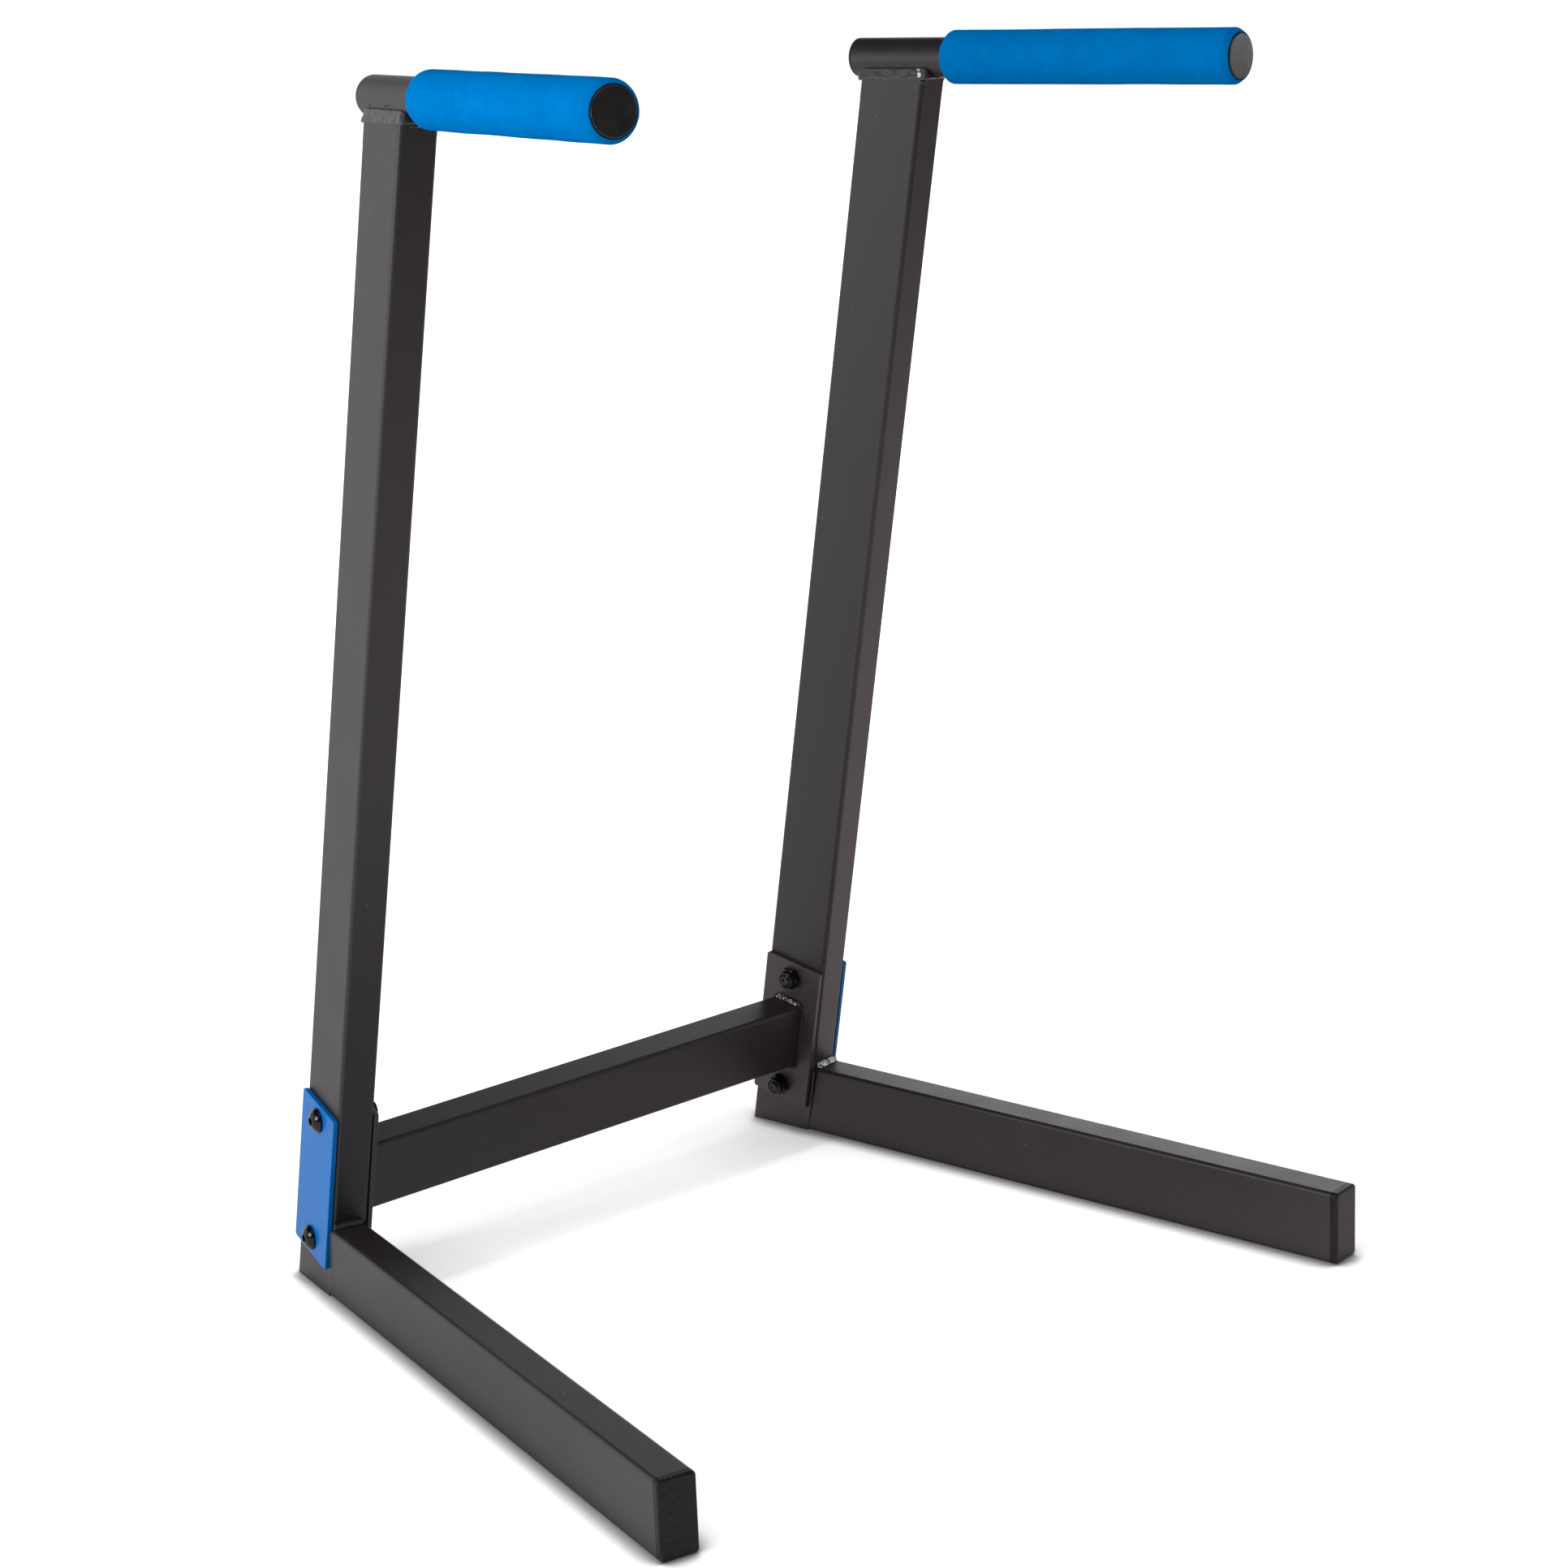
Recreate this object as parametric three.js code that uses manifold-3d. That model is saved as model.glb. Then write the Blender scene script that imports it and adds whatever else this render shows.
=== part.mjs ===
// Dip station: two splayed side frames of rectangular tube, joined low down by a bolted crossbar,
// each carrying a forward-pointing handle with a foam grip.
// Millimetres, +Z up. The front, where the legs and handles point, is -Y. The right frame, as seen
// from the front, is at +X. The origin is on the floor under the middle of the whole station.

import * as THREE from 'three';
import { mergeVertices } from 'three/addons/utils/BufferGeometryUtils.js';
import Module from 'manifold-3d';

const wasm = await Module();
wasm.setup();

// Overall layout: lengths in millimetres, angles in degrees
const HANDLE_HEIGHT = 935; // handle axis above the floor
const UPRIGHT_SPACING = 482; // between the uprights' middle planes, at their rear bottom edges
const LEG_REACH = 600; // upright's rear bottom edge to the capped end of the leg
const SPLAY_ANGLE = 9.6; // each side frame opens outwards towards the front
const FORWARD_TILT = 11.9; // the uprights lean forwards
const INWARD_LEAN = 2.6; // the uprights lean towards each other

// Rectangular tube of the uprights, legs and crossbar
const TUBE_DEPTH = 60;
const TUBE_WIDTH = 30;
const TUBE_WALL = 2;
const TUBE_CORNER_RADIUS = 3;

// Plastic end caps of the legs
const CAP_FLANGE = 6;
const CAP_EDGE_RADIUS = 2.5;
const CAP_SPIGOT_LENGTH = 20;
const CAP_SPIGOT_WALL = 2;
const CAP_SPIGOT_CORNER = 1;

// Handle tube
const HANDLE_DIAMETER = 30;
const HANDLE_WALL = 2;
const HANDLE_REAR_OVERHANG = 9; // tube end behind the upright's rear top edge

// Foam grip
const GRIP_DIAMETER = 41;
const GRIP_LENGTH = 260;
const GRIP_SETBACK = 16.5; // upright's front top edge to the grip's rear end
const GRIP_CHAMFER = 5;
const GRIP_END_LAND = 0.8; // flat ring left at each end of the grip
const GRIP_POCKET_CLEARANCE = 0.6; // round the front plug's flange

// Plugs in the handle tube
const FRONT_PLUG_DIAMETER = 32.5;
const FRONT_PLUG_FLANGE = 4;
const FRONT_PLUG_PROUD = 0.8; // flange face in front of the grip's end
const FRONT_PLUG_EDGE = 0.8;
const REAR_PLUG_FLANGE = 1.5;
const REAR_PLUG_EDGE = 1;
const PLUG_SPIGOT_LENGTH = 18;
const PLUG_SPIGOT_WALL = 2;

// Bolted joint plates
const PLATE_LENGTH = 135;
const PLATE_MARGIN = 0.5; // from the upright's edges to the plate's
const PLATE_THICKNESS = 4;
const PLATE_CORNER_RADIUS = 3;
const PLATE_CENTRE_HEIGHT = 103; // up the upright from its rear bottom edge
const BOLT_PITCH = 107;

// Button-head bolts and lock nuts
const BOLT_DIAMETER = 10;
const BOLT_HEAD_DIAMETER = 20;
const BOLT_HEAD_HEIGHT = 5.8;
const BOLT_HEAD_RIM = 1.2;
const BOLT_HEAD_FLAT = 7.6; // across the flat round the socket
const BOLT_SOCKET = 6; // hexagon, across its flats
const BOLT_SOCKET_DEPTH = 3.2;
const BOLT_TIP = 1; // beyond the nut
const BOLT_TIP_CHAMFER = 0.8;
const BOLT_HOLE_CLEARANCE = 0.5;
const NUT_ACROSS_FLATS = 17;
const NUT_HEX_HEIGHT = 6;
const NUT_CHAMFER = 1;
const NUT_COLLAR_DIAMETER = 15.4;
const NUT_COLLAR_HEIGHT = 4;
const NUT_COLLAR_ROUND = 1.4;
const NUT_INSERT_DIAMETER = 13;
const NUT_INSERT_HEIGHT = 2;

// Weld beads
const HANDLE_BEAD_SIDE = 0.9; // outside the upright's side faces
const HANDLE_BEAD_FRONT = 4.5; // in front of the upright's front face
const HANDLE_BEAD_REAR = 3; // behind its rear face
const HANDLE_BEAD_TOE = 4; // down the faces from the upright's top
const HANDLE_BEAD_CLIMB = 9; // up the handle tube's flanks
const HANDLE_BEAD_ROOT = 1.5; // inside the upright's wall
const LEG_BEAD = 5;
const BAR_BEAD = 4; // across the crossbar's top and bottom
const BAR_BEAD_SIDE_SHARE = 0.3; // of that, down the crossbar's front and back
const BEAD_EDGE = 0.5; // thickness at a toe
const BEAD_CROWN_SHARE = 0.62; // of a fillet's leg, where its face is fullest

// Clearances and facets
const SEAT_GAP = 0.3; // between pieces that rest on, fit in or are welded to each other
const CUT_OVERRUN = 5;
const CORNER_STEPS = 3;
const ROUND_STEPS = 32;
const SMALL_ROUND_STEPS = 16;
const EDGE_STEPS = 2;
const DOME_STEPS = 4;
const HEX_SIDES = 6;

// Worked out from the sizes above
const splay = THREE.MathUtils.degToRad(SPLAY_ANGLE);
const tilt = THREE.MathUtils.degToRad(FORWARD_TILT);
const lean = THREE.MathUtils.degToRad(INWARD_LEAN);
const handleRadius = HANDLE_DIAMETER / 2;
const handleBore = handleRadius - HANDLE_WALL;
const uprightTop = HANDLE_HEIGHT - handleRadius - SEAT_GAP;
const plateSeat = TUBE_WIDTH / 2 + SEAT_GAP; // from the upright's middle plane
const plateFace = plateSeat + PLATE_THICKNESS;
const plateWidth = TUBE_DEPTH - 2 * PLATE_MARGIN;
const boltRadius = BOLT_DIAMETER / 2;
const nutHeight = NUT_HEX_HEIGHT + NUT_COLLAR_HEIGHT;
const boltOffsets = { upper: BOLT_PITCH / 2, lower: -BOLT_PITCH / 2 };
const sides = { left: -1, right: 1 };

const finishes = {
  powder_coat: { color: 0x3a383a, roughness: 0.45, metalness: 0.2 },
  blue_coat: { color: 0x1f6fc4, roughness: 0.4, metalness: 0.1 },
  blue_foam: { color: 0x0a78c8, roughness: 0.9, metalness: 0 },
  black_plastic: { color: 0x1c1b1d, roughness: 0.5, metalness: 0 },
  black_steel: { color: 0x161416, roughness: 0.25, metalness: 0.6 },
  black_nylon: { color: 0x121214, roughness: 0.6, metalness: 0 },
};

function piece(name, geometry, finish) {
  const mesh = new THREE.Mesh(geometry, new THREE.MeshStandardMaterial(finishes[finish]));
  mesh.name = name;
  return mesh;
}

// Booleans

function toSolid(geometry) {
  const bare = geometry.clone();
  bare.deleteAttribute('normal');
  bare.deleteAttribute('uv');
  const merged = mergeVertices(bare);
  const vertProperties = Float32Array.from(merged.attributes.position.array);
  const triVerts = Uint32Array.from(merged.index.array);
  return new wasm.Manifold(new wasm.Mesh({ numProp: 3, vertProperties, triVerts }));
}

function toGeometry(solid) {
  const mesh = solid.getMesh();
  const geometry = new THREE.BufferGeometry();
  const positions = Float32Array.from(mesh.vertProperties);
  geometry.setAttribute('position', new THREE.BufferAttribute(positions, mesh.numProp));
  geometry.setIndex(new THREE.BufferAttribute(Uint32Array.from(mesh.triVerts), 1));
  geometry.computeVertexNormals();
  return geometry;
}

function join(first, ...others) {
  return toGeometry(others.reduce((solid, other) => solid.add(toSolid(other)), toSolid(first)));
}

function cut(first, ...others) {
  return toGeometry(others.reduce((solid, other) => solid.subtract(toSolid(other)), toSolid(first)));
}

function common(first, second) {
  return toGeometry(toSolid(first).intersect(toSolid(second)));
}

// Shapes

// Points of a rounded rectangle about the origin, counterclockwise.
function roundedOutline(width, height, radius) {
  const x = width / 2 - radius;
  const y = height / 2 - radius;
  const centres = [[x, y], [-x, y], [-x, -y], [x, -y]];
  return centres.flatMap(([centreX, centreY], corner) => {
    const points = [];
    for (let step = 0; step <= CORNER_STEPS; step += 1) {
      const angle = ((corner + step / CORNER_STEPS) * Math.PI) / 2;
      const point = new THREE.Vector2(Math.cos(angle), Math.sin(angle)).multiplyScalar(radius);
      points.push(point.add(new THREE.Vector2(centreX, centreY)));
    }
    return points;
  });
}

function roundHole(y, radius) {
  return new THREE.Path().absarc(0, y, radius, 0, 2 * Math.PI, true);
}

// Section of the rectangular tube, wide along X and deep along Y.
function tubeSection() {
  const section = new THREE.Shape(roundedOutline(TUBE_WIDTH, TUBE_DEPTH, TUBE_CORNER_RADIUS));
  const boreWidth = TUBE_WIDTH - 2 * TUBE_WALL;
  const boreDepth = TUBE_DEPTH - 2 * TUBE_WALL;
  const boreRadius = TUBE_CORNER_RADIUS - TUBE_WALL;
  section.holes.push(new THREE.Path(roundedOutline(boreWidth, boreDepth, boreRadius)));
  return section;
}

// A prism of the shape along Z, whose ends lie at startAt(x, y) and endAt(x, y).
function trimmedPrism(shape, startAt, endAt) {
  const options = { depth: 1, bevelEnabled: false, curveSegments: SMALL_ROUND_STEPS };
  const geometry = new THREE.ExtrudeGeometry(shape, options);
  const { position } = geometry.attributes;
  for (let index = 0; index < position.count; index += 1) {
    const x = position.getX(index);
    const y = position.getY(index);
    position.setZ(index, THREE.MathUtils.lerp(startAt(x, y), endAt(x, y), position.getZ(index)));
  }
  return geometry;
}

// Turns a prism made along Z so that it runs along X, with its shape's X along Y and Y along Z.
function layAlongX(geometry) {
  const basis = [new THREE.Vector3(0, 1, 0), new THREE.Vector3(0, 0, 1), new THREE.Vector3(1, 0, 0)];
  return geometry.applyMatrix4(new THREE.Matrix4().makeBasis(...basis));
}

function volume(vertices, faces) {
  let sum = 0;
  for (let face = 0; face < faces.length; face += 3) {
    const [a, b, c] = faces.slice(face, face + 3).map((index) => vertices[index]);
    sum += a.dot(b.clone().cross(c));
  }
  return sum / 6;
}

// Skin over a row of loops of points: closed by an end face at each end, or joined into a ring.
function loft(loops, ring = false) {
  const count = loops[0].length;
  const vertices = loops.flat();
  const faces = [];
  const bands = ring ? loops.length : loops.length - 1;
  for (let band = 0; band < bands; band += 1) {
    const low = band * count;
    const high = ((band + 1) % loops.length) * count;
    for (let index = 0; index < count; index += 1) {
      const next = (index + 1) % count;
      faces.push(low + index, low + next, high + next);
      faces.push(low + index, high + next, high + index);
    }
  }
  const last = vertices.length - count;
  for (let index = 1; !ring && index < count - 1; index += 1) {
    faces.push(0, index + 1, index);
    faces.push(last, last + index, last + index + 1);
  }
  if (volume(vertices, faces) < 0) faces.reverse();
  const geometry = new THREE.BufferGeometry().setFromPoints(vertices);
  geometry.setIndex(faces);
  return geometry;
}

// A body turned about Y from a closed profile of [station along Y, radius] points.
function turned(profile, steps = ROUND_STEPS) {
  const points = profile.map(([station, radius]) => new THREE.Vector2(radius, station));
  if (THREE.ShapeUtils.area(points) < 0) points.reverse();
  return new THREE.LatheGeometry([...points, points[0]], steps);
}

// Profile points of a quarter round, from its rim at full radius to its end face.
function roundedRim(rimStation, endStation, radius, round) {
  const points = [];
  for (let step = 0; step <= EDGE_STEPS; step += 1) {
    const angle = ((step / EDGE_STEPS) * Math.PI) / 2;
    const station = THREE.MathUtils.lerp(rimStation, endStation, Math.sin(angle));
    points.push([station, radius - round * (1 - Math.cos(angle))]);
  }
  return points;
}

// Frames

function sideFrame(side) {
  const frame = new THREE.Group();
  frame.position.x = (side * UPRIGHT_SPACING) / 2;
  frame.rotation.z = side * splay;
  return frame;
}

// The upright's own frame within its side frame: Z along it, rear face at Y zero, rear bottom
// edge through the origin.
function uprightFrame(side) {
  const frame = new THREE.Group();
  frame.rotation.set(tilt, -side * lean, 0, 'YXZ');
  return frame;
}

// Station along the upright at which its line (x, y) reaches a level above the floor.
function uprightLevel(side, level) {
  const up = new THREE.Vector3(0, 0, 1).applyQuaternion(uprightFrame(side).quaternion.invert());
  return (x, y) => (level - up.x * x - up.y * y) / up.z;
}

// The same for a shape drawn about the upright's axis.
function sectionLevel(side, level) {
  return (x, y) => uprightLevel(side, level)(x, y - TUBE_DEPTH / 2);
}

// Y, in the side frame, at which the line (x, z) meets the plane in front of the upright's face.
function frontFaceAt(side, distance) {
  const normal = new THREE.Vector3(0, -1, 0).applyQuaternion(uprightFrame(side).quaternion);
  return (x, z) => (TUBE_DEPTH + distance - normal.x * x - normal.z * z) / normal.y;
}

// Y, in the side frame, of the upright's top at its rear edge or its front edge.
function topEdge(side, depth) {
  const station = uprightLevel(side, uprightTop)(0, -depth);
  return new THREE.Vector3(0, -depth, station).applyQuaternion(uprightFrame(side).quaternion).y;
}

// Stations of the handle's pieces along the side frame's Y, which falls towards the front
function handleStations(side) {
  const tubeRear = topEdge(side, 0) + HANDLE_REAR_OVERHANG;
  const gripRear = topEdge(side, TUBE_DEPTH) - GRIP_SETBACK;
  const gripFront = gripRear - GRIP_LENGTH;
  const plugFront = gripFront - FRONT_PLUG_PROUD;
  const plugBack = plugFront + FRONT_PLUG_FLANGE;
  return { tubeRear, gripRear, gripFront, plugFront, plugBack, tubeFront: plugBack + SEAT_GAP };
}

// Upright, open at the bottom, its top cut level under the handle tube

function uprightTube(side) {
  const startAt = sectionLevel(side, 0);
  const endAt = sectionLevel(side, uprightTop);
  const tube = trimmedPrism(tubeSection(), startAt, endAt);
  tube.translate(0, -TUBE_DEPTH / 2, 0);
  return cut(tube, ...Object.values(boltOffsets).map(boltDrill));
}

function boltDrill(offset) {
  const radius = boltRadius + BOLT_HOLE_CLEARANCE;
  const length = TUBE_WIDTH + 2 * CUT_OVERRUN;
  const drill = new THREE.CylinderGeometry(radius, radius, length, SMALL_ROUND_STEPS);
  drill.rotateZ(Math.PI / 2);
  return drill.translate(0, -TUBE_DEPTH / 2, PLATE_CENTRE_HEIGHT + offset);
}

// Base leg, flat on the floor, its rear end cut to the upright's front face

function legTube(side) {
  const rear = frontFaceAt(side, SEAT_GAP);
  const startAt = (x, y) => -rear(x, y + TUBE_DEPTH / 2);
  const endAt = () => LEG_REACH - CAP_FLANGE - SEAT_GAP;
  const tube = trimmedPrism(tubeSection(), startAt, endAt);
  return tube.rotateX(Math.PI / 2).translate(0, 0, TUBE_DEPTH / 2);
}

// One loop of the cap's flange, drawn in from the tube's outline by the inset.
function capLoop(station, inset) {
  const radius = TUBE_CORNER_RADIUS - inset / 2;
  const outline = roundedOutline(TUBE_WIDTH - 2 * inset, TUBE_DEPTH - 2 * inset, radius);
  return outline.map((point) => new THREE.Vector3(point.x, point.y, station));
}

function capFlange() {
  const loops = [capLoop(LEG_REACH - CAP_FLANGE, 0)];
  for (let step = 0; step <= EDGE_STEPS; step += 1) {
    const angle = ((step / EDGE_STEPS) * Math.PI) / 2;
    const station = LEG_REACH - CAP_EDGE_RADIUS * (1 - Math.sin(angle));
    loops.push(capLoop(station, CAP_EDGE_RADIUS * (1 - Math.cos(angle))));
  }
  return loft(loops);
}

function capSpigot() {
  const width = TUBE_WIDTH - 2 * (TUBE_WALL + SEAT_GAP);
  const depth = TUBE_DEPTH - 2 * (TUBE_WALL + SEAT_GAP);
  const shape = new THREE.Shape(roundedOutline(width, depth, CAP_SPIGOT_CORNER));
  const boreWidth = width - 2 * CAP_SPIGOT_WALL;
  const boreDepth = depth - 2 * CAP_SPIGOT_WALL;
  shape.holes.push(new THREE.Path(roundedOutline(boreWidth, boreDepth, CAP_SPIGOT_CORNER)));
  const flangeBack = LEG_REACH - CAP_FLANGE;
  return trimmedPrism(shape, () => flangeBack - CAP_SPIGOT_LENGTH, () => flangeBack + CAP_FLANGE / 2);
}

function legCap() {
  return join(capFlange(), capSpigot()).rotateX(Math.PI / 2).translate(0, 0, TUBE_DEPTH / 2);
}

// Fillet bead across the top of the joint between leg and upright.
function legBead(side) {
  const level = TUBE_DEPTH + SEAT_GAP;
  const face = frontFaceAt(side, SEAT_GAP);
  const crown = LEG_BEAD * BEAD_CROWN_SHARE;
  const halfWidth = TUBE_WIDTH / 2 - TUBE_CORNER_RADIUS;
  const loopAt = (x) => [
    new THREE.Vector3(x, face(x, level), level),
    new THREE.Vector3(x, face(x, level + LEG_BEAD), level + LEG_BEAD),
    new THREE.Vector3(x, face(x, level + crown) - crown, level + crown),
    new THREE.Vector3(x, face(x, level) - LEG_BEAD, level),
  ];
  return loft([loopAt(-halfWidth), loopAt(halfWidth)]);
}

// Handle tube and its plugs

function handleTube(stations) {
  const { tubeRear, tubeFront } = stations;
  return turned([
    [tubeFront, handleBore],
    [tubeFront, handleRadius],
    [tubeRear, handleRadius],
    [tubeRear, handleBore],
  ]);
}

// Plug with a rounded flange outside the tube and a hollow spigot inside it.
function handlePlug(flangeBack, flangeFace, flangeRadius, edge) {
  const inwards = Math.sign(flangeBack - flangeFace);
  const spigotRadius = handleBore - SEAT_GAP;
  const hollowRadius = spigotRadius - PLUG_SPIGOT_WALL;
  const spigotEnd = flangeBack + inwards * PLUG_SPIGOT_LENGTH;
  return turned([
    [flangeFace, 0],
    ...roundedRim(flangeFace + inwards * edge, flangeFace, flangeRadius, edge).reverse(),
    [flangeBack, flangeRadius],
    [flangeBack, spigotRadius],
    [spigotEnd, spigotRadius],
    [spigotEnd, hollowRadius],
    [flangeBack, hollowRadius],
    [flangeBack, 0],
  ]);
}

function frontPlug({ plugBack, plugFront }) {
  return handlePlug(plugBack, plugFront, FRONT_PLUG_DIAMETER / 2, FRONT_PLUG_EDGE);
}

function rearPlug({ tubeRear }) {
  const flangeBack = tubeRear + SEAT_GAP;
  return handlePlug(flangeBack, flangeBack + REAR_PLUG_FLANGE, handleRadius, REAR_PLUG_EDGE);
}

// Foam grip: chamfered rear end, rounded front end with a pocket for the plug's flange.
function foamGrip({ gripRear, gripFront, plugBack }) {
  const radius = GRIP_DIAMETER / 2;
  const bore = handleRadius + SEAT_GAP;
  const pocket = FRONT_PLUG_DIAMETER / 2 + GRIP_POCKET_CLEARANCE;
  const rearLand = bore + GRIP_END_LAND;
  const frontRound = radius - pocket - GRIP_END_LAND;
  return turned([
    [gripRear, bore],
    [gripRear, rearLand],
    [gripRear - GRIP_CHAMFER, radius],
    ...roundedRim(gripFront + GRIP_CHAMFER, gripFront, radius, frontRound),
    [gripFront, pocket],
    [plugBack + SEAT_GAP, pocket],
    [plugBack + SEAT_GAP, bore],
  ]);
}

// Bead all round the upright's top, filling up to the handle tube's flanks. The loops follow the
// upright's outline at levels above the floor, each with its own overhang per face.
function handleBead(side) {
  const cutter = { side: SEAT_GAP, front: SEAT_GAP, rear: SEAT_GAP };
  const toe = { side: BEAD_EDGE, front: BEAD_EDGE, rear: BEAD_EDGE };
  const full = { side: HANDLE_BEAD_SIDE, front: HANDLE_BEAD_FRONT, rear: HANDLE_BEAD_REAR };
  const climbed = uprightTop + HANDLE_BEAD_CLIMB;
  const drop = HANDLE_HEIGHT - climbed;
  const flank = Math.sqrt(handleRadius ** 2 - drop ** 2);
  const narrow = { side: flank - TUBE_WIDTH / 2, front: HANDLE_BEAD_SIDE, rear: 0 };
  const bead = loft([
    beadLoop(side, uprightTop - HANDLE_BEAD_TOE, toe),
    beadLoop(side, uprightTop, full),
    beadLoop(side, climbed, narrow),
  ]);
  const below = beadLoop(side, uprightTop - HANDLE_BEAD_TOE - CUT_OVERRUN, cutter);
  const upright = loft([below, beadLoop(side, uprightTop + SEAT_GAP, cutter)]);
  return cut(bead, upright, beadCore(side), handleCutter(side));
}

function beadLoop(side, level, overhang) {
  const depth = TUBE_DEPTH + overhang.front + overhang.rear;
  const centre = (overhang.rear - overhang.front) / 2;
  const outline = roundedOutline(TUBE_WIDTH + 2 * overhang.side, depth, TUBE_CORNER_RADIUS);
  return outline.map(({ x, y }) => {
    const shifted = y + centre;
    return new THREE.Vector3(x, shifted - TUBE_DEPTH / 2, sectionLevel(side, level)(x, shifted));
  });
}

// The space inside the upright that the bead's root doesn't reach.
function beadCore(side) {
  const inset = 2 * (TUBE_WALL + HANDLE_BEAD_ROOT);
  const size = [TUBE_WIDTH - inset, TUBE_DEPTH - inset, 2 * (HANDLE_BEAD_TOE + HANDLE_BEAD_CLIMB)];
  const core = new THREE.BoxGeometry(...size);
  return core.translate(0, -TUBE_DEPTH / 2, sectionLevel(side, uprightTop)(0, 0));
}

// The handle tube with its clearance, in the upright's frame.
function handleCutter(side) {
  const radius = handleRadius + SEAT_GAP;
  const length = 2 * (TUBE_DEPTH + HANDLE_REAR_OVERHANG + CUT_OVERRUN);
  const cutter = new THREE.CylinderGeometry(radius, radius, length, ROUND_STEPS);
  cutter.translate(handleOffset(side), (topEdge(side, 0) + topEdge(side, TUBE_DEPTH)) / 2, 0);
  cutter.translate(0, 0, HANDLE_HEIGHT);
  return cutter.applyQuaternion(uprightFrame(side).quaternion.invert());
}

// X of the handle's axis in the side frame, in the upright's middle plane.
function handleOffset(side) {
  return -side * HANDLE_HEIGHT * Math.tan(lean);
}

// Joint plates, each 'facing' outwards (1) or inwards (-1)

function jointPlate(side, facing) {
  const shape = new THREE.Shape(roundedOutline(plateWidth, PLATE_LENGTH, PLATE_CORNER_RADIUS));
  const holeRadius = boltRadius + BOLT_HOLE_CLEARANCE;
  shape.holes.push(...Object.values(boltOffsets).map((offset) => roundHole(offset, holeRadius)));
  const plate = layAlongX(trimmedPrism(shape, () => 0, () => PLATE_THICKNESS));
  const start = side * facing > 0 ? plateSeat : -plateFace;
  return plate.translate(start, -TUBE_DEPTH / 2, PLATE_CENTRE_HEIGHT);
}

// Button-head bolt along Y, its stations measured outwards from the upright's middle plane.
function buttonBolt() {
  const seat = plateFace + SEAT_GAP;
  const tip = -(seat + nutHeight + BOLT_TIP);
  const top = seat + BOLT_HEAD_HEIGHT;
  const body = turned([
    [tip, 0],
    [tip, boltRadius - BOLT_TIP_CHAMFER],
    [tip + BOLT_TIP_CHAMFER, boltRadius],
    [seat, boltRadius],
    [seat, BOLT_HEAD_DIAMETER / 2],
    ...domeProfile(seat + BOLT_HEAD_RIM, top),
    [top, 0],
  ], SMALL_ROUND_STEPS);
  const corner = BOLT_SOCKET / 2 / Math.cos(Math.PI / HEX_SIDES);
  const depth = BOLT_SOCKET_DEPTH + CUT_OVERRUN;
  const socket = new THREE.CylinderGeometry(corner, corner, depth, HEX_SIDES);
  return cut(body, socket.translate(0, top - BOLT_SOCKET_DEPTH + depth / 2, 0));
}

// Profile of the head's dome, from its rim to the flat round the socket.
function domeProfile(rimStation, flatStation) {
  const rim = BOLT_HEAD_DIAMETER / 2;
  const flat = BOLT_HEAD_FLAT / 2;
  const height = flatStation - rimStation;
  const drop = (rim ** 2 - flat ** 2 - height ** 2) / (2 * height); // sphere's centre below the rim
  const sphere = Math.hypot(rim, drop);
  const start = Math.atan2(drop, rim);
  const end = Math.atan2(drop + height, flat);
  const points = [];
  for (let step = 0; step <= DOME_STEPS; step += 1) {
    const angle = start + ((end - start) * step) / DOME_STEPS;
    points.push([rimStation - drop + sphere * Math.sin(angle), sphere * Math.cos(angle)]);
  }
  return points;
}

// Lock nut along Y from its seat: chamfered hexagon and a round collar with a pocket for the insert.
function lockNut() {
  const flat = NUT_ACROSS_FLATS / 2;
  const corner = flat / Math.cos(Math.PI / HEX_SIDES);
  const hex = new THREE.CylinderGeometry(corner, corner, NUT_HEX_HEIGHT, HEX_SIDES);
  hex.translate(0, NUT_HEX_HEIGHT / 2, 0);
  const chamfers = turned([
    [0, 0],
    [0, flat],
    [NUT_CHAMFER, corner],
    [NUT_HEX_HEIGHT - NUT_CHAMFER, corner],
    [NUT_HEX_HEIGHT, flat],
    [NUT_HEX_HEIGHT, 0],
  ], SMALL_ROUND_STEPS);
  const collarRadius = NUT_COLLAR_DIAMETER / 2;
  const collar = turned([
    [NUT_HEX_HEIGHT / 2, 0],
    [NUT_HEX_HEIGHT / 2, collarRadius],
    ...roundedRim(nutHeight - NUT_COLLAR_ROUND, nutHeight, collarRadius, NUT_COLLAR_ROUND),
    [nutHeight, 0],
  ], SMALL_ROUND_STEPS);
  const boreRadius = boltRadius + SEAT_GAP;
  const pocketRadius = NUT_INSERT_DIAMETER / 2 + SEAT_GAP;
  const above = nutHeight + CUT_OVERRUN;
  const bore = turned(cylinderProfile(-CUT_OVERRUN, above, boreRadius), SMALL_ROUND_STEPS);
  const pocketFloor = nutHeight - NUT_INSERT_HEIGHT - SEAT_GAP;
  const pocket = turned(cylinderProfile(pocketFloor, above, pocketRadius), SMALL_ROUND_STEPS);
  return cut(join(common(hex, chamfers), collar), bore, pocket);
}

function cylinderProfile(start, end, radius) {
  return [[start, 0], [start, radius], [end, radius], [end, 0]];
}

// Nylon ring in the nut's collar.
function nutInsert() {
  const inner = boltRadius + SEAT_GAP;
  const outer = NUT_INSERT_DIAMETER / 2;
  const low = nutHeight - NUT_INSERT_HEIGHT;
  return turned([[low, inner], [low, outer], [nutHeight, outer], [nutHeight, inner]], SMALL_ROUND_STEPS);
}

// Crossbar, its section upright in the tilted joint plates

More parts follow.
